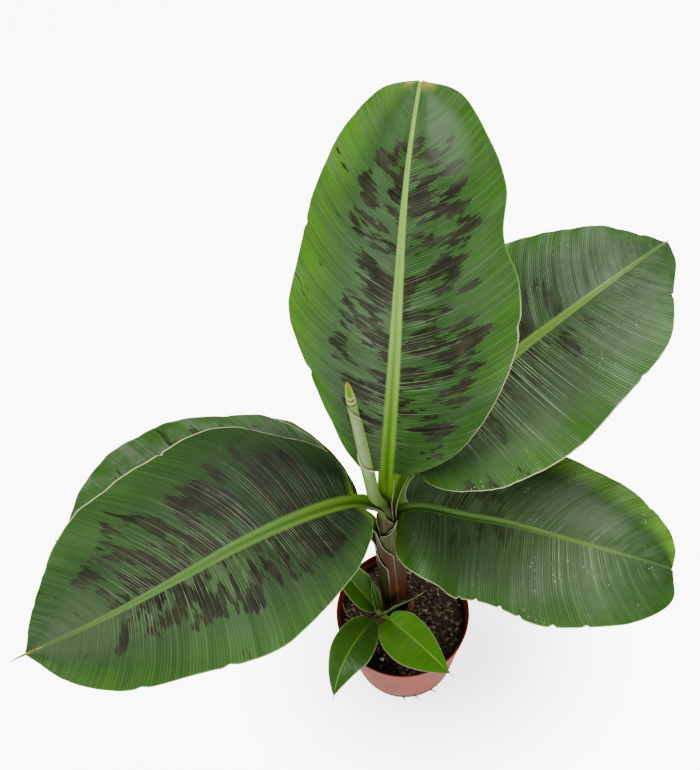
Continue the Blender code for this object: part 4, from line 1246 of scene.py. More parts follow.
def husk_look(name, light, dark, red):
    look = Look(name)
    x, y, z = look.split(look.place)
    fibres = look.grain(x * 900.0, y * 900.0, z * 60.0, 4.0, 0.6)
    cloud = look.noise(140.0, 3.0)
    colour = look.blend(fibres.step(0.3, 0.7), dark, light)
    colour = look.blend(cloud.step(0.45, 0.7), colour, red)
    look.bump(fibres, 0.0004)
    return look.finish(colour, 0.8)


side, inward = round_stem(SCRAP_TURN)
rows = Rows()
even = np.linspace(1, -1, 31)
for t in np.linspace(0, 1, 44):
    z = mix(SCRAP_FOOT, SCRAP_TOP, t)
    radius = layer_radius(SCRAP_LAYER, z) + SCRAP_GAP * t
    torn = 1 + 0.1 * sin(41 * t) + 0.07 * sin(97 * t + 1)
    across = SCRAP_WRAP * radius * (1 - 0.75 * t ** 2) * torn * even
    droop = SCRAP_DROOP * t * np.sin(5 * even + 1.2) * np.abs(even)
    place = np.array([*stem_axis(z), z]) - inward * radius
    top, normal = surface(place, 0.0, side, inward, 0.0, 1.0 / radius, across)
    crease = SCRAP_CREASE * np.sin(9 * even + 20 * t)
    top = top + np.outer(droop, (0, 0, 1)) - normal * crease[:, None]
    rows.add(top, top - normal * SHEATH_THICKNESS, even, t, across)
dry = husk_look("dry_husk", (0.62, 0.3, 0.11), (0.22, 0.085, 0.03), (0.42, 0.15, 0.045))
stand_in(skin("dry_scrap_fine", rows, [dry, dry, dry]), "dry_scrap")

# %% [markdown]
# ## The side shoot
#
# A young shoot has come up in front of the stem. Its five small leaves are bright, plain green
# and glossy, with no marks. They use the same formulas as the big leaves with their own numbers.

# %% Side shoot numbers
PUP_X, PUP_Y, PUP_CROWN, PUP_FOOT = -0.024, -0.0015, 0.136, 0.0903
PUP_FOOT_RADIUS, PUP_CROWN_RADIUS = 0.0056, 0.0034
PUP_LEAF_OFFSET = 0.0012
PUP_RIB, PUP_PETIOLE, PUP_CURL_RADIUS = 0.0011, 0.002, 0.003
PUP_MARGIN = (0.42, 0.52, 0.2)
PUP_LEAVES = {
    "front": dict(mouth=0.124, petiole=0.018, blade=0.086, rise=(78, 24, 8, -10, -24),
                  turn=(311, 311, 313), fold=(28, 12, 6), bend=(0, 30, 40),
                  left=((0, 2), (2, 9), (14, 18), (36, 19), (58, 13), (74, 6), (86, 0)),
                  right=((0, 2), (2, 15), (18, 29), (40, 31), (62, 20), (76, 9), (86, 0))),
    "side": dict(mouth=0.12, petiole=0.02, blade=0.092, rise=(76, 30, 4, -26, -46),
                 turn=(226, 234, 250), fold=(28, 14, 6), bend=(0, 30, 40),
                 left=((0, 2), (4, 10), (18, 20), (40, 24), (64, 14), (92, 0)),
                 right=((0, 2), (4, 10), (18, 18), (40, 20), (64, 13), (92, 0))),
    "cup": dict(mouth=0.126, petiole=0.014, blade=0.078, rise=(80, 58, 52, 46, 40),
                turn=(140, 138, 138), fold=(48, 34, 20), bend=(0, 20, 20),
                left=((0, 2), (6, 12), (22, 20), (42, 20), (62, 11), (78, 0)),
                right=((0, 2), (6, 10), (22, 16), (42, 17), (62, 10), (78, 0))),
    "spear": dict(mouth=0.128, petiole=0.012, blade=0.05, rise=(86, 84, 80, 76, 72),
                  turn=(120, 110, 100), fold=(55, 45, 30), bend=(0, 0, 0),
                  left=((0, 2), (8, 5), (24, 6), (40, 4), (50, 0)),
                  right=((0, 2), (8, 5), (24, 6), (40, 4), (50, 0))),
    "edge": dict(mouth=0.122, petiole=0.014, blade=0.07, rise=(75, 70, 62, 48, 36),
                 turn=(338, 350, 372), fold=(10, 10, 10), bend=(0, 0, 0), roll=-45,
                 left=((0, 2), (8, 6), (22, 6), (44, 3), (70, 0)),
                 right=((0, 2), (8, 6), (22, 6), (44, 3), (70, 0))),
}
print(len(PUP_LEAVES), "small leaves")

# %% Side shoot paint
YOUNG = dict(
    COMMON, rib_reach=1.2, rib_end=0.7, haze=(0.16, 0.3, 0.08), marks=-3.0,
    cream_until=(1.2, 1.4), spots=0.0, bloom=0.1, streaks=0.3, margin=(0.5, 0.5),
    margin_from=0.6, groove=0.15, gloss=0.36, lines=0.05, cream=(0.8, 0.8), border=0.962)
PUP_PAINT = {
    "front": dict(dark=(0.095, 0.31, 0.01), light=(0.19, 0.49, 0.018),
                  furrow=(0.08, 0.27, 0.008), margin_colour=(0.14, 0.34, 0.015),
                  rib=(0.33, 0.62, 0.06), stalk=(0.26, 0.48, 0.04), under=(0.12, 0.26, 0.03)),
    "side": dict(dark=(0.03, 0.11, 0.004), light=(0.05, 0.155, 0.008),
                 furrow=(0.018, 0.075, 0.003), margin_colour=(0.09, 0.22, 0.02),
                 rib=(0.19, 0.36, 0.05)),
    "cup": dict(dark=(0.04, 0.14, 0.003), light=(0.07, 0.2, 0.005),
                furrow=(0.028, 0.1, 0.003), margin_colour=(0.1, 0.26, 0.02),
                rib=(0.2, 0.36, 0.07)),
    "spear": dict(dark=(0.03, 0.09, 0.01), light=(0.06, 0.15, 0.02), rib=(0.16, 0.28, 0.07)),
    "edge": dict(dark=(0.04, 0.095, 0.02), light=(0.08, 0.15, 0.04), rib=(0.18, 0.28, 0.09),
                 under=(0.1, 0.16, 0.07)),
}
print(len(YOUNG), "values of young paint")

# %% Side shoot leaves
PUP_COLUMNS = spread(12, 0.6)
PUP_RIBS = np.array([0.8, 0.45, 0.15, 0.0, -0.15, -0.45, -0.8])
PUP_PETIOLE_ROWS, PUP_BLADE_ROWS = 16, 110
for number, (name, leaf) in enumerate(PUP_LEAVES.items()):
    out = radians(leaf["turn"][0])
    leaf.update(
        start=(PUP_X + PUP_LEAF_OFFSET * cos(out), PUP_Y + PUP_LEAF_OFFSET * sin(out)),
        sweep=1.5, back=0.0, rib=PUP_RIB, rib_tip=PUP_RIB * 0.6, keel=0.0012,
        petiole_half=PUP_PETIOLE, petiole_curl=1 / PUP_CURL_RADIUS, first_curl=1 / PUP_CURL_RADIUS,
        first_thickness=0.001, waves=2.0, phase=0.5, wave_height=0.0006, seed=number + 20,
        groove=0.00035, pleat=0.45, frill=0.0003, ragged=0.0004, nicks={},
        edge_length=leaf["blade"] * 1.1, skew=(1.0, 1.0))
    line, rows = midrib(leaf), Rows()
    petiole(rows, leaf, line, PUP_PETIOLE_ROWS, stalk_columns(leaf, PUP_COLUMNS, PUP_RIBS))
    blade(rows, leaf, line, PUP_BLADE_ROWS, PUP_COLUMNS, PUP_RIBS)
    paint, label = SimpleNamespace(**{**YOUNG, **PUP_PAINT[name]}), "pup_" + name
    dress(label, label, "pup", leaf, paint, PUP_MARGIN, rows, line)

# %% [markdown]
# ## The stem of the side shoot
#
# The shoot's leaves come out of a short stem that is red brown in the soil and green above. Its
# sheaths are too small to tell apart in the photo, so it is one slightly uneven tube.

# %% Side shoot stem
PUP_STEM = ((PUP_FOOT, PUP_FOOT_RADIUS - 0.0004), (0.1132, 0.0045),
            (PUP_CROWN - 0.0015, PUP_CROWN_RADIUS), (PUP_CROWN - 0.0003, PUP_CROWN_RADIUS * 0.8),
            (PUP_CROWN, PUP_CROWN_RADIUS * 0.4))
SHOOT_FOOT, SHOOT_TOP, SHOOT_SHADE = (0.16, 0.05, 0.02), (0.16, 0.22, 0.05), (0.09, 0.06, 0.02)


def shoot_look():
    look = Look("pup_stem_skin")
    z = look.split(look.place)[2]
    cloud = look.noise(120.0, 3.0)
    colour = look.blend(z.step(0.104, 0.128), SHOOT_FOOT, SHOOT_TOP)
    return look.finish(look.blend(cloud.step(0.4, 0.7, 0.0, 0.5), colour, SHOOT_SHADE), 0.5)


rings = []
a = full_turn(48)
for z in np.concatenate([np.linspace(PUP_FOOT, 0.1335, 30), np.linspace(0.1337, PUP_CROWN, 8)]):
    radius = float(np.interp(z, *zip(*PUP_STEM)))
    r = radius * (1 + 0.03 * np.cos(2 * a + 1) + 0.02 * np.cos(5 * a))
    rings.append(round_ring(PUP_X, PUP_Y, z, r, a))
stand_in(grid_body("pup_stem", rings, shoot_look()), "pup")

# %% [markdown]
# ## Pot
#
# The pot is thin terracotta-coloured plastic: faint moulding rings on the wall, scuffs and a redder
# rim. Its left side, its inside and its foot are darkened as painted shade, the foot as a painted
# contact shadow. An image could carry these, but a formula of height and distance from the middle
# stays sharp close up, and it needs no unwrapping.

# %% Pot surface
POT_HEIGHT, POT_RIM_RADIUS, POT_FOOT_RADIUS = 0.125, 0.07, 0.056
POT_WALL, POT_FLOOR, POT_FLOOR_LIFT = 0.0014, 0.002, 0.003
POT_COLLAR_HEIGHT, POT_COLLAR_STEP, POT_HUB_RADIUS = 0.014, 0.0009, 0.012
TERRACOTTA, TERRACOTTA_LIGHT, MOULD_RING = (0.54, 0.066, 0.026), (0.64, 0.11, 0.048), (0.7, 0.165, 0.082)
SHADED_SIDE, LOW_WALL, SCUFF = (0.44, 0.05, 0.02), (0.58, 0.085, 0.022), (0.8, 0.36, 0.23)
FOOT_CONTACT_SHADOW, COLLAR_SEAM, RIM_RED = (0.19, 0.024, 0.01), (0.26, 0.09, 0.06), (0.36, 0.045, 0.016)
POT_INSIDE_SHADE, POT_INSIDE_SHADE_PALE, PEAT_DUST = (0.1, 0.018, 0.009), (0.2, 0.038, 0.018), (0.1, 0.06, 0.045)


def wall_radius(z):
    return mix(POT_FOOT_RADIUS, POT_RIM_RADIUS - POT_COLLAR_STEP, z / POT_HEIGHT)


def pot_look():
    look = Look("pot_plastic")
    x, y, z = look.split(look.place)
    radius = look.calc("SQRT", x * x + y * y)
    slope = (POT_RIM_RADIUS - POT_COLLAR_STEP - POT_FOOT_RADIUS) / POT_HEIGHT
    wall_middle = z * slope + (POT_FOOT_RADIUS - POT_WALL * 0.5)
    outer = (radius - wall_middle).step(-0.0001, 0.0001)
    cloud = look.noise(26.0, 4.0, 0.6)
    rings = look.grain(0.0, 0.0, z * 420.0)
    wall = look.blend(cloud.step(0.35, 0.7), TERRACOTTA, TERRACOTTA_LIGHT)
    wall = look.blend(rings.step(0.4, 0.7, 0.0, 0.25), wall, MOULD_RING)
    # painted shade: the pot's left side is darker
    deeper = x.step(-0.045, 0.02, 0.75, 0.0) * cloud.step(0.3, 0.6, 0.5, 1.0)
    wall = look.blend(deeper, wall, SHADED_SIDE)
    wall = look.blend(z.step(0.0, 0.06, 0.5, 0.0), wall, LOW_WALL)
    scuff = look.grain(x * 60.0, y * 60.0, z * 260.0, 4.0, 0.7)
    wall = look.blend(scuff.step(0.5, 0.75, 0.0, 0.28), wall, SCUFF)
    # painted contact shadow: a dark band round the pot's foot
    wall = look.blend(z.step(0.008, 0.018, 0.97, 0.0), wall, FOOT_CONTACT_SHADOW)
    seam = abs(z - (POT_HEIGHT - POT_COLLAR_HEIGHT))
    wall = look.blend(seam.step(0.0004, 0.0012, 0.35, 0.0), wall, COLLAR_SEAM)
    # painted shade: the inside is far darker than the same plastic outside
    inside = look.blend(cloud.step(0.4, 0.7), POT_INSIDE_SHADE, POT_INSIDE_SHADE_PALE)
    colour = look.blend(outer, inside, wall)
    rim = z.step(POT_HEIGHT - 0.0024, POT_HEIGHT - 0.0012)
    colour = look.blend(rim, colour, RIM_RED)
    dust = look.spots(700.0)[0].step(0.06, 0.16, 1.0, 0.0)
    dust = dust * cloud.step(0.55, 0.7, 0.0, 0.5)
    colour = look.blend(dust, colour, PEAT_DUST)
    look.bump(rings + look.noise(500.0) * 0.25, 0.00008)
    return look.finish(colour, cloud.step(0.3, 0.7, 0.36, 0.46), 0.32)


print("pot:", POT_HEIGHT / MM, "mm high,", 2 * POT_RIM_RADIUS / MM, "mm across the rim")

# %% [markdown]
# ## Turning shapes
#
# A pot is round, so a profile that is turned once about the middle gives it whole. A Screw
# modifier does this too. The helper below also closes the shape where the profile meets the
# middle, so that it stays a solid body that holes can be cut into.

# %% Turning


def turned(name, profile, sides):
    """A closed solid of revolution round +Z from a closed (radius, height) profile."""
    mesh = bmesh.new()
    rings = []
    for radius, z in profile:
        if radius == 0.0:
            rings.append([mesh.verts.new((0.0, 0.0, z))])
            continue
        angles = [tau * k / sides for k in range(sides)]
        rings.append([mesh.verts.new((radius * cos(a), radius * sin(a), z)) for a in angles])
    for a, b in zip(rings, rings[1:]):
        for k in range(sides):
            n = (k + 1) % sides
            if len(a) == 1:
                mesh.faces.new((a[0], b[n], b[k]))
            elif len(b) == 1:
                mesh.faces.new((a[k], a[n], b[0]))
            else:
                mesh.faces.new((a[k], a[n], b[n], b[k]))
    bmesh.ops.recalc_face_normals(mesh, faces=mesh.faces)
    data = bpy.data.meshes.new(name)
    mesh.to_mesh(data)
    mesh.free()
    return show(name, data)


def settled(item):
    """A new mesh with the item's modifiers worked in."""
    view_layer.update()
    return bpy.data.meshes.new_from_object(item.evaluated_get(bpy.context.evaluated_depsgraph_get()))


print("wall radius at the foot and the rim:", wall_radius(0.0), round(wall_radius(POT_HEIGHT), 4))

# %% [markdown]
# ## The pot's shape
#
# The profile runs from the middle of the underside out to the foot ring, up the wall, over the
# collar and the rolled rim, and down inside. Six drills cut the drain holes with Boolean
# modifiers. Modelling round holes into a turned floor by hand would take far longer.

# %% Pot profile
BEAD_RADIUS = 0.0007
MOULD_RING_HEIGHT = 0.0001

collar = POT_HEIGHT - POT_COLLAR_HEIGHT
floor_top = POT_FLOOR_LIFT + POT_FLOOR
wall_rise = [(wall_radius(z) + MOULD_RING_HEIGHT * sin(z * 900) * sin(z * 263), z)
             for z in np.linspace(0.0025, collar - 0.0022, 60)]
bead = [(POT_RIM_RADIUS - BEAD_RADIUS + BEAD_RADIUS * cos(a), POT_HEIGHT - BEAD_RADIUS + BEAD_RADIUS * sin(a))
        for a in np.linspace(-0.3 * pi, pi * 0.96, 12)]
profile = [
    (0.0, 0.0), (POT_HUB_RADIUS - 0.0004, 0.0), (POT_HUB_RADIUS, 0.0002),
    (POT_HUB_RADIUS + 0.001, POT_FLOOR_LIFT), (POT_FOOT_RADIUS - 0.0045, POT_FLOOR_LIFT),
    (POT_FOOT_RADIUS - 0.0035, 0.0002), (POT_FOOT_RADIUS - 0.0032, 0.0),
    (POT_FOOT_RADIUS - 0.0005, 0.0), (POT_FOOT_RADIUS, 0.0005), (wall_radius(0.0018), 0.0018),
    *wall_rise,
    (wall_radius(collar - 0.0018) + 0.0002, collar - 0.0016),
    (wall_radius(collar) + POT_COLLAR_STEP - 0.0002, collar - 0.0004),
    (wall_radius(collar) + POT_COLLAR_STEP, collar + 0.0002),
    (POT_RIM_RADIUS - 0.0004, POT_HEIGHT - 0.002), *bead,
    (POT_RIM_RADIUS - POT_WALL - 0.0008, POT_HEIGHT - 0.002),
    (wall_radius(collar) + POT_COLLAR_STEP - POT_WALL, collar),
    (wall_radius(collar - 0.002) - POT_WALL, collar - 0.003),
    (wall_radius(floor_top) - POT_WALL, floor_top), (0.0, floor_top)]
print(len(profile), "points in the pot's profile")

# %% Pot
POT_SIDES, DRAIN_SIDES = 160, 24
DRAIN_COUNT, DRAIN_RADIUS, DRAIN_CIRCLE = 6, 0.0045, 0.04
pot_blank = turned("pot_blank", profile, POT_SIDES)
drills = []
for k in range(DRAIN_COUNT):
    rod = ((0.0, 0.02), (DRAIN_RADIUS, 0.02), (DRAIN_RADIUS, -0.01), (0.0, -0.01))
    drill = turned(f"drill_{k}", rod, DRAIN_SIDES)
    angle = tau * (k + 0.5) / DRAIN_COUNT
    drill.location = (DRAIN_CIRCLE * cos(angle), DRAIN_CIRCLE * sin(angle), 0.0)
    cut = pot_blank.modifiers.new("drain", "BOOLEAN")
    cut.operation = "DIFFERENCE"
    cut.solver = "EXACT"
    cut.object = drill
    drills.append(drill)
pot_data = settled(pot_blank)
for item in [pot_blank, *drills]:
    bpy.data.objects.remove(item)
pot_data.materials.clear()
pot_data.materials.append(pot_look())
pot_data.shade_smooth()
pot_data.set_sharp_from_angle(angle=radians(40))
pot = show("pot_fine", pot_data)
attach(pot, "root")
stand_in(pot, "pot")

# %% [markdown]
# ## Soil
#
# The root ball is dark peat with a crumbly top. Displacing a dense plane would do, but the soil
# also needs its side and underside, so it is one closed body of rings whose heights are worked out
# from smooth random lattices of four sizes.

# %% Soil heights
SOIL_RELIEF = 0.0016
SOIL_CRUMBLE = ((0.011, 0.0028, 1), (0.0048, 0.0026, 2), (0.0021, 0.0014, 3), (0.0011, 0.0007, 4))


def soil_height(x, y):
    a = np.sin(x * 210 + 1.3) * np.sin(y * 190 + 0.4)
    b = np.sin(x * 430 - y * 350 + 2.0) * 0.5
    return SOIL_LEVEL + SOIL_RELIEF * (a + b) / 1.5


def value_noise(x, y, size, seed):
    """Smooth random heights on a square lattice."""
    gx, gy = x / size, y / size
    ix, iy = np.floor(gx), np.floor(gy)
    fx, fy = smooth(gx - ix), smooth(gy - iy)

    def corner(dx, dy):
        h = np.sin((ix + dx) * 127.1 + (iy + dy) * 311.7 + seed * 74.7) * 43758.5453
        return h - np.floor(h)

    return mix(mix(corner(0, 0), corner(1, 0), fx), mix(corner(0, 1), corner(1, 1), fx), fy) - 0.5


print("crumbs of", [round(size / MM, 1) for size, _, _ in SOIL_CRUMBLE], "mm")

# %% Soil surface
PEAT_DARK, PEAT_LIGHT, PEAT_BROWN = (0.01, 0.0075, 0.0055), (0.105, 0.066, 0.045), (0.06, 0.036, 0.022)
GRIT = (0.3, 0.21, 0.13)


def soil_look():
    look = Look("peat")
    fine = look.noise(420.0, 4.0, 0.65)
    cloud = look.noise(70.0, 3.0)
    colour = look.blend(fine.step(0.35, 0.7), PEAT_DARK, PEAT_LIGHT)
    colour = look.blend(cloud.step(0.5, 0.72, 0.0, 0.6), colour, PEAT_BROWN)
    gap, pick = look.spots(480.0)
    grit = gap.step(0.12, 0.3, 1.0, 0.0) * look.split(pick)[1].step(0.7, 0.9)
    colour = look.blend(grit, colour, GRIT)
    look.bump(fine, 0.0008)
    return look.finish(colour, 0.95, 0.25)


print("colour of the grit:", GRIT)

# %% Soil
SOIL_GAP, SOIL_FLOOR_GAP = 0.0004, 0.0003
SOIL_SHOULDER, SOIL_FALL = 0.004, 0.003
SOIL_SIDES, SOIL_RINGS = 240, 96
soil_side = wall_radius(SOIL_LEVEL - SOIL_SHOULDER) - POT_WALL - SOIL_GAP
soil_foot = floor_top + SOIL_FLOOR_GAP
below = wall_radius(soil_foot) - POT_WALL - SOIL_GAP
around = full_turn(SOIL_SIDES)
rings = [round_ring(0.0, 0.0, z, radius, around)
         for radius, z in ((below, soil_foot), (mix(below, soil_side, 0.5), SOIL_LEVEL / 2),
                           (soil_side, SOIL_LEVEL - SOIL_SHOULDER))]
for radius in soil_side * (1 - np.linspace(0, 0.995, SOIL_RINGS)):
    x, y = radius * np.cos(around), radius * np.sin(around)
    z = soil_height(x, y)
    for size, height, seed in SOIL_CRUMBLE:
        z = z + height * value_noise(x, y, size, seed)
    wall_fall = SOIL_FALL * smooth((radius - soil_side + SOIL_SHOULDER) / SOIL_SHOULDER)
    rings.append(np.stack([x, y, z - wall_fall], 1))
soil = grid_body("soil_fine", rings, soil_look())
stand_in(soil, "soil")

# %% [markdown]
# ## Crumbs, chips and fibres
#
# Bark chips, peat crumbs, white perlite and tan fibres lie loose on the soil in their hundreds.
# From where they are seen, one shape for each kind is enough when it is turned and sized anew
# each time. A crumb is a ball that is pushed out of shape, a fibre is a short bent tube.

# %% Crumb shapes
FIBRE_SIDES, FIBRE_POINTS, FIBRE_RADIUS = 6, 9, 0.018


def lump(name, seed, stretch, rough):
    """One irregular crumb, about a millimetre across, that is strewn at many sizes."""
    mesh = bmesh.new()
    bmesh.ops.create_icosphere(mesh, subdivisions=2, radius=0.5)
    rng = np.random.default_rng(seed)
    push = rng.normal(0, 1, (6, 3))
    for vertex in mesh.verts:
        p = np.array(vertex.co)
        r = 1 + rough * sum(sin(3 * p @ q + k) for k, q in enumerate(push)) / 3
        vertex.co = Vector(p * r * stretch)
    data = bpy.data.meshes.new(name)
    mesh.to_mesh(data)
    mesh.free()
    data.shade_flat()
    return show(name, data)


def strand(name, seed):
    """One thin bent fibre, about a millimetre long."""
    rng = np.random.default_rng(seed)
    path = np.cumsum(rng.normal((0.12, 0.0, 0.0), (0.02, 0.05, 0.03), (FIBRE_POINTS, 3)), 0)
    path -= path.mean(0)
    a, n = full_turn(FIBRE_SIDES), FIBRE_SIDES
    rings = [p + FIBRE_RADIUS * np.stack([0 * a, np.cos(a), np.sin(a)], 1) for p in path]
    faces = [(r * n + c, r * n + (c + 1) % n, (r + 1) * n + (c + 1) % n, (r + 1) * n + c)
             for r in range(FIBRE_POINTS - 1) for c in range(n)]
    last = (FIBRE_POINTS - 1) * n
    data = bpy.data.meshes.new(name)
    data.from_pydata(np.concatenate(rings).tolist(), [],
                     faces + [tuple(range(n))[::-1], tuple(range(last, last + n))])
    data.shade_smooth()
    return show(name, data)


print("a fibre has", FIBRE_POINTS, "rings of", FIBRE_SIDES, "points")

# %% Crumb surface
CRUMB_SHADE = 0.4


def crumb_look(name, light, dark, rough=0.85):
    look = Look(name)
    tone = look.noise(260.0, 1.0)
    fine = look.noise(1400.0, 3.0)
    colour = look.blend(tone.step(0.35, 0.65), dark, light)
    colour = look.blend(fine.step(0.4, 0.7, 0.0, 0.5), colour, scaled(dark, CRUMB_SHADE))
    look.bump(fine, 0.0003)
    return look.finish(colour, rough)


print("pits in a crumb are darkened to", CRUMB_SHADE)

# %% [markdown]
# ## Strewing
#
# Placing hundreds of crumbs by hand would take long, and a particle system is an older way to
# do it. One Geometry Nodes group scatters points on the ground, sets a crumb on each, makes them
# real and gives them their material. Its inputs are named, so each kind only brings its numbers.

# %% Strewing group
UPTURNED = 0.35
STREW_INPUTS = (("Crumb", "Object"), ("Density", "Float"), ("Seed", "Int"), ("Smallest", "Float"),
                ("Largest", "Float"), ("Tilt", "Float"), ("Lift", "Float"), ("Surface", "Material"))


def strewing_tree(name):
    """Points on the upturned faces of the ground, one crumb on each, turned and sized at random."""
    tree = bpy.data.node_groups.new(name, "GeometryNodeTree")
    tree.is_modifier = True
    face = tree.interface
    face.new_socket("Ground", in_out="INPUT", socket_type="NodeSocketGeometry")
    for label, kind in STREW_INPUTS:
        face.new_socket(label, in_out="INPUT", socket_type="NodeSocket" + kind)
    face.new_socket("Crumbs", in_out="OUTPUT", socket_type="NodeSocketGeometry")
    given = tree.nodes.new("NodeGroupInput").outputs

    def put(kind, inputs, **settings):
        """A node with its inputs linked or set, by name or number; gives back its outputs."""
        node = tree.nodes.new(kind)
        for key, value in settings.items():
            setattr(node, key, value)
        for key, value in inputs.items():
            if isinstance(value, bpy.types.NodeSocket):
                tree.links.new(value, node.inputs[key])
            else:
                node.inputs[key].default_value = value
        return node.outputs

    normal = put("GeometryNodeInputNormal", {})[0]
    height = put("ShaderNodeSeparateXYZ", {0: normal})["Z"]
    upward = put("FunctionNodeCompare", {0: height, 1: UPTURNED})[0]
    ground = {"Mesh": given["Ground"], "Selection": upward, "Density": given["Density"],
              "Seed": given["Seed"]}
    points = put("GeometryNodeDistributePointsOnFaces", ground)["Points"]
    crumb = put("GeometryNodeObjectInfo", {"Object": given["Crumb"]})["Geometry"]
    most = put("ShaderNodeCombineXYZ", {0: given["Tilt"], 1: given["Tilt"], 2: tau})[0]
    least = put("ShaderNodeVectorMath", {0: most, "Scale": -1.0}, operation="SCALE")[0]
    limits = {"Min": least, "Max": most, "Seed": given["Seed"]}
    angles = put("FunctionNodeRandomValue", limits, data_type="FLOAT_VECTOR")[0]
    limits = {2: given["Smallest"], 3: given["Largest"], "Seed": given["Seed"]}
    size = put("FunctionNodeRandomValue", limits, data_type="FLOAT")[1]
    crumbs = {"Points": points, "Instance": crumb, "Rotation": angles, "Scale": size}
    placed = put("GeometryNodeInstanceOnPoints", crumbs)[0]
    rise = put("ShaderNodeCombineXYZ", {2: given["Lift"]})[0]
    shift = {"Instances": placed, "Translation": rise, "Local Space": False}
    lifted = put("GeometryNodeTranslateInstances", shift)[0]
    real = put("GeometryNodeRealizeInstances", {0: lifted})[0]
    painted = put("GeometryNodeSetMaterial", {"Geometry": real, "Material": given["Surface"]})[0]
    tree.links.new(painted, tree.nodes.new("NodeGroupOutput").inputs[0])
    return tree


STREW = strewing_tree("strew")
print("strewing group with", len(STREW.nodes), "nodes")

# %% [markdown]
# ## What lies on the soil
#
# Each kind becomes one piece. The ground is a copy of the soil's top without a strip along the
# wall and a ring round the stems, because crumbs there would stick out through them.

# %% Bed
BED_RADIUS = soil_side - 0.003
BED_DEPTH = 0.006
STEM_CLEARANCE = 0.019


def bed_mesh():
    """The upper side of the soil, kept clear of the wall and the stems, as ground for strewing."""
    mesh = bmesh.new()
    mesh.from_mesh(soil.data)
    away = []
    for face in mesh.faces:
        centre = face.calc_center_median()
        stem = (centre.xy - Vector((STEM_X, STEM_Y))).length
        low = centre.z < SOIL_LEVEL - BED_DEPTH
        if low or centre.xy.length > BED_RADIUS or stem < STEM_CLEARANCE:
            away.append(face)
    bmesh.ops.delete(mesh, geom=away, context="FACES")
    data = bpy.data.meshes.new("bed")
    mesh.to_mesh(data)
    mesh.free()
    return data


BED = bed_mesh()
print("bed of", len(BED.polygons), "faces")

# %% Strewing one kind


def strew(name, crumb, material, density, seed, sizes, tilt, lift):
    """Strews copies of a crumb over the bed and joins them into one piece."""
    item = show(name + "_bed", BED)
    modifier = item.modifiers.new("strew", "NODES")
    modifier.node_group = STREW
    values = {"Crumb": crumb, "Density": density, "Seed": seed, "Smallest": sizes[0],
              "Largest": sizes[1], "Tilt": tilt, "Lift": lift, "Surface": material}
    for socket in STREW.interface.items_tree:
        if socket.in_out == "INPUT" and socket.name in values:
            modifier[socket.identifier] = values[socket.name]
    data = settled(item)
    bpy.data.objects.remove(item)
    bpy.data.objects.remove(crumb)
    data.name = name
    made = show(name, data)
    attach(made, "root")
    print(name, len(data.polygons), "faces")


print("each kind brings:", ", ".join(label for label, _ in STREW_INPUTS))

# %% Strewn pieces
strew("bark_chips", lump("chip", 1, (1.6, 1.0, 0.5), 0.25),
      crumb_look("bark", (0.34, 0.215, 0.13), (0.034, 0.021, 0.014)),
      density=22000, seed=11, sizes=(0.0014, 0.005), tilt=0.9, lift=0.0006)
strew("peat_crumbs", lump("clod", 2, (1.2, 1.0, 0.9), 0.3),
      crumb_look("peat_crumb", (0.11, 0.066, 0.042), (0.009, 0.007, 0.005)),
      density=110000, seed=12, sizes=(0.0007, 0.0022), tilt=3.0, lift=0.0003)
strew("straw_bits", lump("splint", 5, (2.6, 0.7, 0.35), 0.25),
      crumb_look("straw", (0.62, 0.47, 0.28), (0.3, 0.2, 0.11)),
      density=6500, seed=15, sizes=(0.0009, 0.0024), tilt=0.8, lift=0.0011)
strew("perlite", lump("grain", 3, (1.1, 1.0, 0.9), 0.2),
      crumb_look("perlite_white", (0.62, 0.6, 0.56), (0.34, 0.32, 0.29)),
      density=8200, seed=13, sizes=(0.0007, 0.0021), tilt=3.0, lift=0.0008)
strew("fibres", strand("hair", 4), crumb_look("tan_fibre", (0.34, 0.22, 0.12), (0.13, 0.075, 0.04)),
      density=15000, seed=14, sizes=(0.004, 0.012), tilt=0.35, lift=0.0014)

# %% [markdown]
# ## Small things on the pot and the soil
#
# Dark rootlets poke out under the pot's foot, and one pale root and one pale lump lie on the soil.
# Where they lie can be read off the photo, so each one is given by the pixel where the camera
# sees it and by its height. A bevelled curve would make the same tubes. Rings are used here,
# because every other tube of this plant is made of them.

# %% Threads
THREAD_SIDES = 10


def thread(name, path, radii, material):
    """A thin tapered tube through a few points, smoothed."""
    path = np.asarray(path, float)
    places = np.linspace(0, 1, len(path))
    t = np.linspace(0, 1, 8 * len(path))
    line = through(places, path, t)
    radius = np.interp(t, places, radii)
    along = np.gradient(line, axis=0)
    along /= np.linalg.norm(along, axis=1)[:, None]
    side = np.cross(along, (0.31, 0.17, 0.93))
    side /= np.linalg.norm(side, axis=1)[:, None]
    up = np.cross(side, along)
    a = full_turn(THREAD_SIDES)
    rings = [p + r * (np.outer(np.cos(a), s) + np.outer(np.sin(a), v))
             for p, r, s, v in zip(line, radius, side, up)]
    grid_body(name, rings, material)


print("a thread has", THREAD_SIDES, "sides")

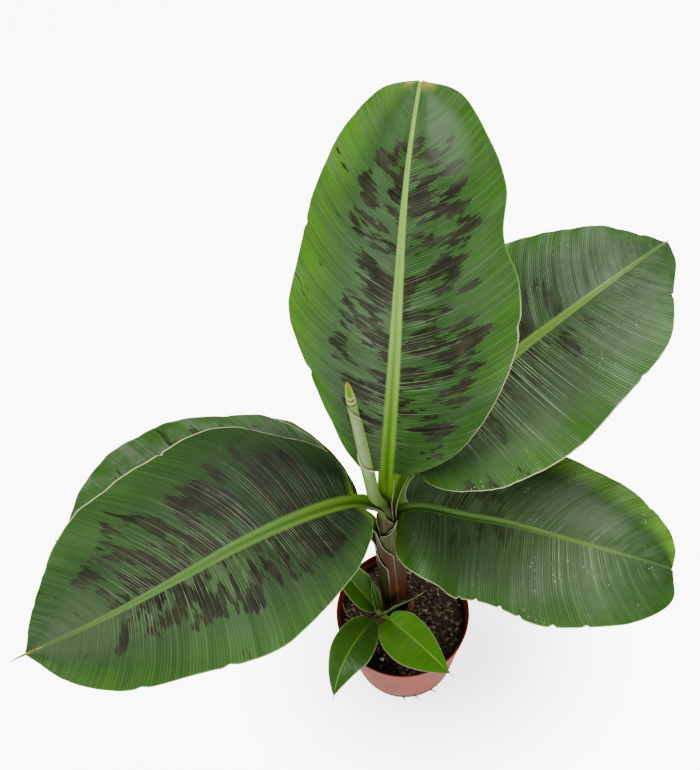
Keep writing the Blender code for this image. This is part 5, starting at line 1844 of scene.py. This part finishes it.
# %% Roots and lump
# For a rootlet: the pixel of its middle, then how far its ends are from there.
# For the root and the lump: pixel and height.
ROOTLETS = ((403, 697, 3, 4), (415, 696, 4, 3), (431, 690, 5, 2))
ROOTLET_HIGH, ROOTLET_LOW, ROOTLET_ARCH = 0.0022, 0.0009, 0.0006
PALE_ROOT = ((343, 603, 0.11), (344, 609, 0.112), (348, 616, 0.11), (353, 619, 0.108))
PALE_LUMP = (382, 659, 0.1128)
rootlet = crumb_look("rootlet", (0.1, 0.06, 0.045), (0.035, 0.02, 0.015))
for k, (u, v, du, dv) in enumerate(ROOTLETS):
    a, b = seen_at(u - du, v - dv, ROOTLET_HIGH), seen_at(u + du, v + dv, ROOTLET_LOW)
    middle = (a + b) / 2 + Vector((0, 0, ROOTLET_ARCH))
    thread(f"rootlet_{k + 1}", (a, middle, b), (0.0007, 0.0008, 0.0004), rootlet)
pale_root = crumb_look("pale_root", (0.5, 0.36, 0.22), (0.3, 0.19, 0.1))
path = [seen_at(*place) for place in PALE_ROOT]
thread("pale_root", path, (0.0005, 0.0007, 0.0007, 0.0004), pale_root)
stone = lump("pale_lump", 7, (5.0, 3.6, 6.5), 0.22)
stone.data.transform(Matrix.Scale(MM, 4))
stone.data.transform(Matrix.Rotation(0.5, 4, "X"))
stone.data.transform(Matrix.Translation(seen_at(*PALE_LUMP)))
stone.data.materials.append(crumb_look("pale_stone", (0.95, 0.9, 0.72), (0.8, 0.7, 0.52)))
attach(stone, "root")
print(len(ROOTLETS), "rootlets, a pale root and a pale lump")

# %% [markdown]
# ## Small things on the leaves
#
# A young banana leaf keeps a dry thread at its tip, and the mouth of a sheath has a papery rim.
# Both run along rows that the leaves already have, so their paths are read from there.

# %% Threads at the tips
THREADS = {
    "leaf_2": (0.015, 0.002, 0.001, (0.36, 0.3, 0.04)),
    "leaf_5": (0.012, 0.003, 0.001, (0.2, 0.12, 0.05)),
    "leaf_3": (0.004, -0.001, 0.0009, (0.34, 0.38, 0.1)),
    "leaf_6": (0.01, 0.002, 0.0009, (0.22, 0.14, 0.05)),
}
THREADED_YOUNG = ("front", "side", "cup", "edge")


def tip_path(label, back, sink, length, half_droop, droop):
    """Four points: one `back` rows inside the blade, its tip, and two beyond it."""
    rows, line = pieces[label]
    middle = len(rows.top[-1]) // 2
    inner, tip, ahead = rows.top[-back][middle], rows.top[-1][middle], line["along"][-1]
    return [inner - (0, 0, sink), tip, tip + ahead * length * 0.5 - (0, 0, half_droop),
            tip + ahead * length - (0, 0, droop)]


for name, (length, droop, radius, colour) in THREADS.items():
    path = tip_path(name, 12, 0.0006, length, droop * 0.3, droop)
    look = crumb_look(name + "_thread", colour, scaled(colour, 0.4))
    thread(name + "_thread", path, (radius * 0.6, radius, radius * 0.7, radius * 0.3), look)
for name in THREADED_YOUNG:
    path = tip_path("pup_" + name, 8, 0.0, 0.006, 0.0, 0.0006)
    look = crumb_look("pup_thread_look_" + name, (0.3, 0.34, 0.1), (0.1, 0.12, 0.04))
    thread("pup_thread_" + name, path, (0.0004, 0.0005, 0.0004, 0.0002), look)
print(len(THREADS) + len(THREADED_YOUNG), "threads")

# %% Papery rims
RIM_SHAKE = 0.00016
papery = crumb_look("papery_margin", (0.66, 0.64, 0.4), (0.42, 0.36, 0.19), 0.7)
for name, leaf in LEAVES.items():
    top = pieces[name][0].top
    picked = range(SHEATH_ROWS - 6, SHEATH_ROWS + MOUTH_ROWS + PETIOLE_ROWS - 3, 3)
    for side_name, column in (("left", 0), ("right", -1)):
        path = np.array([top[k][column] for k in picked])
        rng = np.random.default_rng(leaf["seed"] + 40 + column)
        path = path + rng.normal(0, RIM_SHAKE, path.shape)
        along = np.linspace(0, 1, len(path))
        radii = np.interp(along, (0, 0.2, 0.6, 1), (0.0002, 0.0004, 0.0005, 0.0002))
        thread(f"{name}_rim_{side_name}", path, radii, papery)
print(2 * len(LEAVES), "papery rims")

# %% [markdown]
# ## The curled ear
#
# At the foot of leaf_4 a small part of the blade curls up and shows its pale underside. It could be
# bent out of the blade, but it is narrow and turns sharply, so it is a small sheet of its own
# between two lines that were read off the photo.

# %% Ear
EAR_LEFT = ((396.0, 502.5), (397.5, 494.0), (400.0, 487.0), (405.5, 480.0), (412.0, 474.5))
EAR_RIGHT = ((411.5, 505.5), (406.5, 499.0), (406.0, 491.0), (409.5, 482.0), (415.0, 475.5))
EAR_LOW, EAR_HIGH = 0.3362, 0.374
EAR_ARCH = 0.0022
EAR_DARK, EAR_PALE, EAR_EDGE = (0.085, 0.23, 0.02), (0.19, 0.33, 0.075), (0.62, 0.64, 0.42)


def ear_look():
    look = Look("leaf_4_ear_skin")
    c = look.map("veins")[1]
    z = look.split(look.place)[2]
    ribs = look.grain(c * 26.0, z * 40.0)
    colour = look.blend(ribs.step(0.35, 0.65), EAR_DARK, EAR_PALE)
    colour = look.blend(abs(c * 2.0 - 1.0).step(0.84, 0.95), colour, EAR_EDGE)
    return look.finish(colour, 0.5, 0.25)


rows = Rows()
even = np.linspace(1, -1, 17)
share = (1 - even[:, None]) / 2
arch = np.outer(EAR_ARCH * (1 - even ** 2), (0.0, -0.4, 0.9))
places = np.linspace(0, 1, len(EAR_LEFT))
for t in np.linspace(0, 1, 40):
    z = mix(EAR_LOW, EAR_HIGH, t)
    left, other = (np.array(seen_at(*through(places, edge, t), z)) for edge in (EAR_LEFT, EAR_RIGHT))
    top = mix(left, other, share) + arch
    width = float(np.linalg.norm(other - left))
    rows.add(top, top + (0.0, 0.0003, -0.0005), even, 0.03 * t, width * even / 2)
ear_skin = ear_look()
skin("leaf_4_ear", rows, [ear_skin, ear_skin, ear_skin])
print("an ear of", len(rows.top), "rows")

# %% [markdown]
# ## Corm
#
# The corm is the short swollen stem in the soil that all sheaths grow from. It is hidden, so a
# finer shape would be wasted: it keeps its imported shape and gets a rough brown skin.

# %% Corm
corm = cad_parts["corm"]
corm.data.materials.clear()
corm.data.materials.append(
    husk_look("corm_skin", (0.3, 0.2, 0.11), (0.12, 0.07, 0.04), (0.22, 0.13, 0.07)))
print("corm:", corm.data.materials[0].name)

# %% [markdown]
# ## Floor and light
#
# Around the plant the photo shows nothing but white, with a soft shadow under the pot. A shadow
# catcher would need compositing, so the floor is a large plane that glows and is only dimmer near
# the pot. Three softboxes give the broad soft light that the leaves show.

# %% Floor
FLOOR_GLOW = 8.6
FLOOR_REACH = 12
SHADOW_MIDDLE, SHADOW_STRETCH = 0.035, 0.8

look = Look("floor")
look.finish((0.8, 0.795, 0.79), 0.8, 0.2)
look.put(look.shader.inputs["Emission Color"], (1.0, 0.995, 0.99))
across, deep, _ = look.split(look.place)
across = (across - SHADOW_MIDDLE) * SHADOW_STRETCH
far = look.calc("SQRT", across * across + deep * deep)
look.put(look.shader.inputs["Emission Strength"], far.step(0.03, 0.2, 0.32, 1.0) * FLOOR_GLOW)
plane = bpy.data.meshes.new("floor")
corners = [(x * FLOOR_REACH, y * FLOOR_REACH, 0) for x, y in ((-1, -1), (1, -1), (1, 1), (-1, 1))]
plane.from_pydata(corners, [], [(0, 1, 2, 3)])
plane.materials.append(look.material)
floor_item = show("floor", plane)
floor_item.visible_diffuse = False
floor_item.visible_glossy = False
print("a floor of", 2 * FLOOR_REACH, "m")

# %% Sky
world = bpy.data.worlds.new("studio")
bpy.context.scene.world = world
world.use_nodes = True
sky = world.node_tree
up = sky.nodes.new("ShaderNodeSeparateXYZ")
sky.links.new(sky.nodes.new("ShaderNodeTexCoord").outputs["Generated"], up.inputs[0])
fade = sky.nodes.new("ShaderNodeMapRange")
for socket, value in zip(fade.inputs[1:5], (-0.1, 0.1, 0.82, 0.18)):
    socket.default_value = value
sky.links.new(up.outputs[2], fade.inputs[0])
sky.links.new(fade.outputs[0], sky.nodes["Background"].inputs[1])
sky.nodes["Background"].inputs[0].default_value = (1.0, 0.99, 0.98, 1.0)
print("sky:", world.name)

# %% Softboxes
PLANT_MIDDLE = (0.0, 0.05, 0.3)


def softbox(name, place, size, power):
    light = bpy.data.lights.new(name, "AREA")
    light.shape = "RECTANGLE"
    light.size, light.size_y = size
    light.energy = power
    item = show(name, light)
    item.location = place
    item.rotation_euler = (Vector(PLANT_MIDDLE) - Vector(place)).to_track_quat("-Z", "Y").to_euler()


softbox("overhead", (0.75, 0.75, 1.9), (1.3, 1.1), 44.0)
softbox("key", (-1.4, -0.2, 1.8), (1.1, 1.1), 38.0)
softbox("fill", (0.2, -1.7, 1.1), (1.2, 0.8), 17.0)
print("the softboxes face", PLANT_MIDDLE)
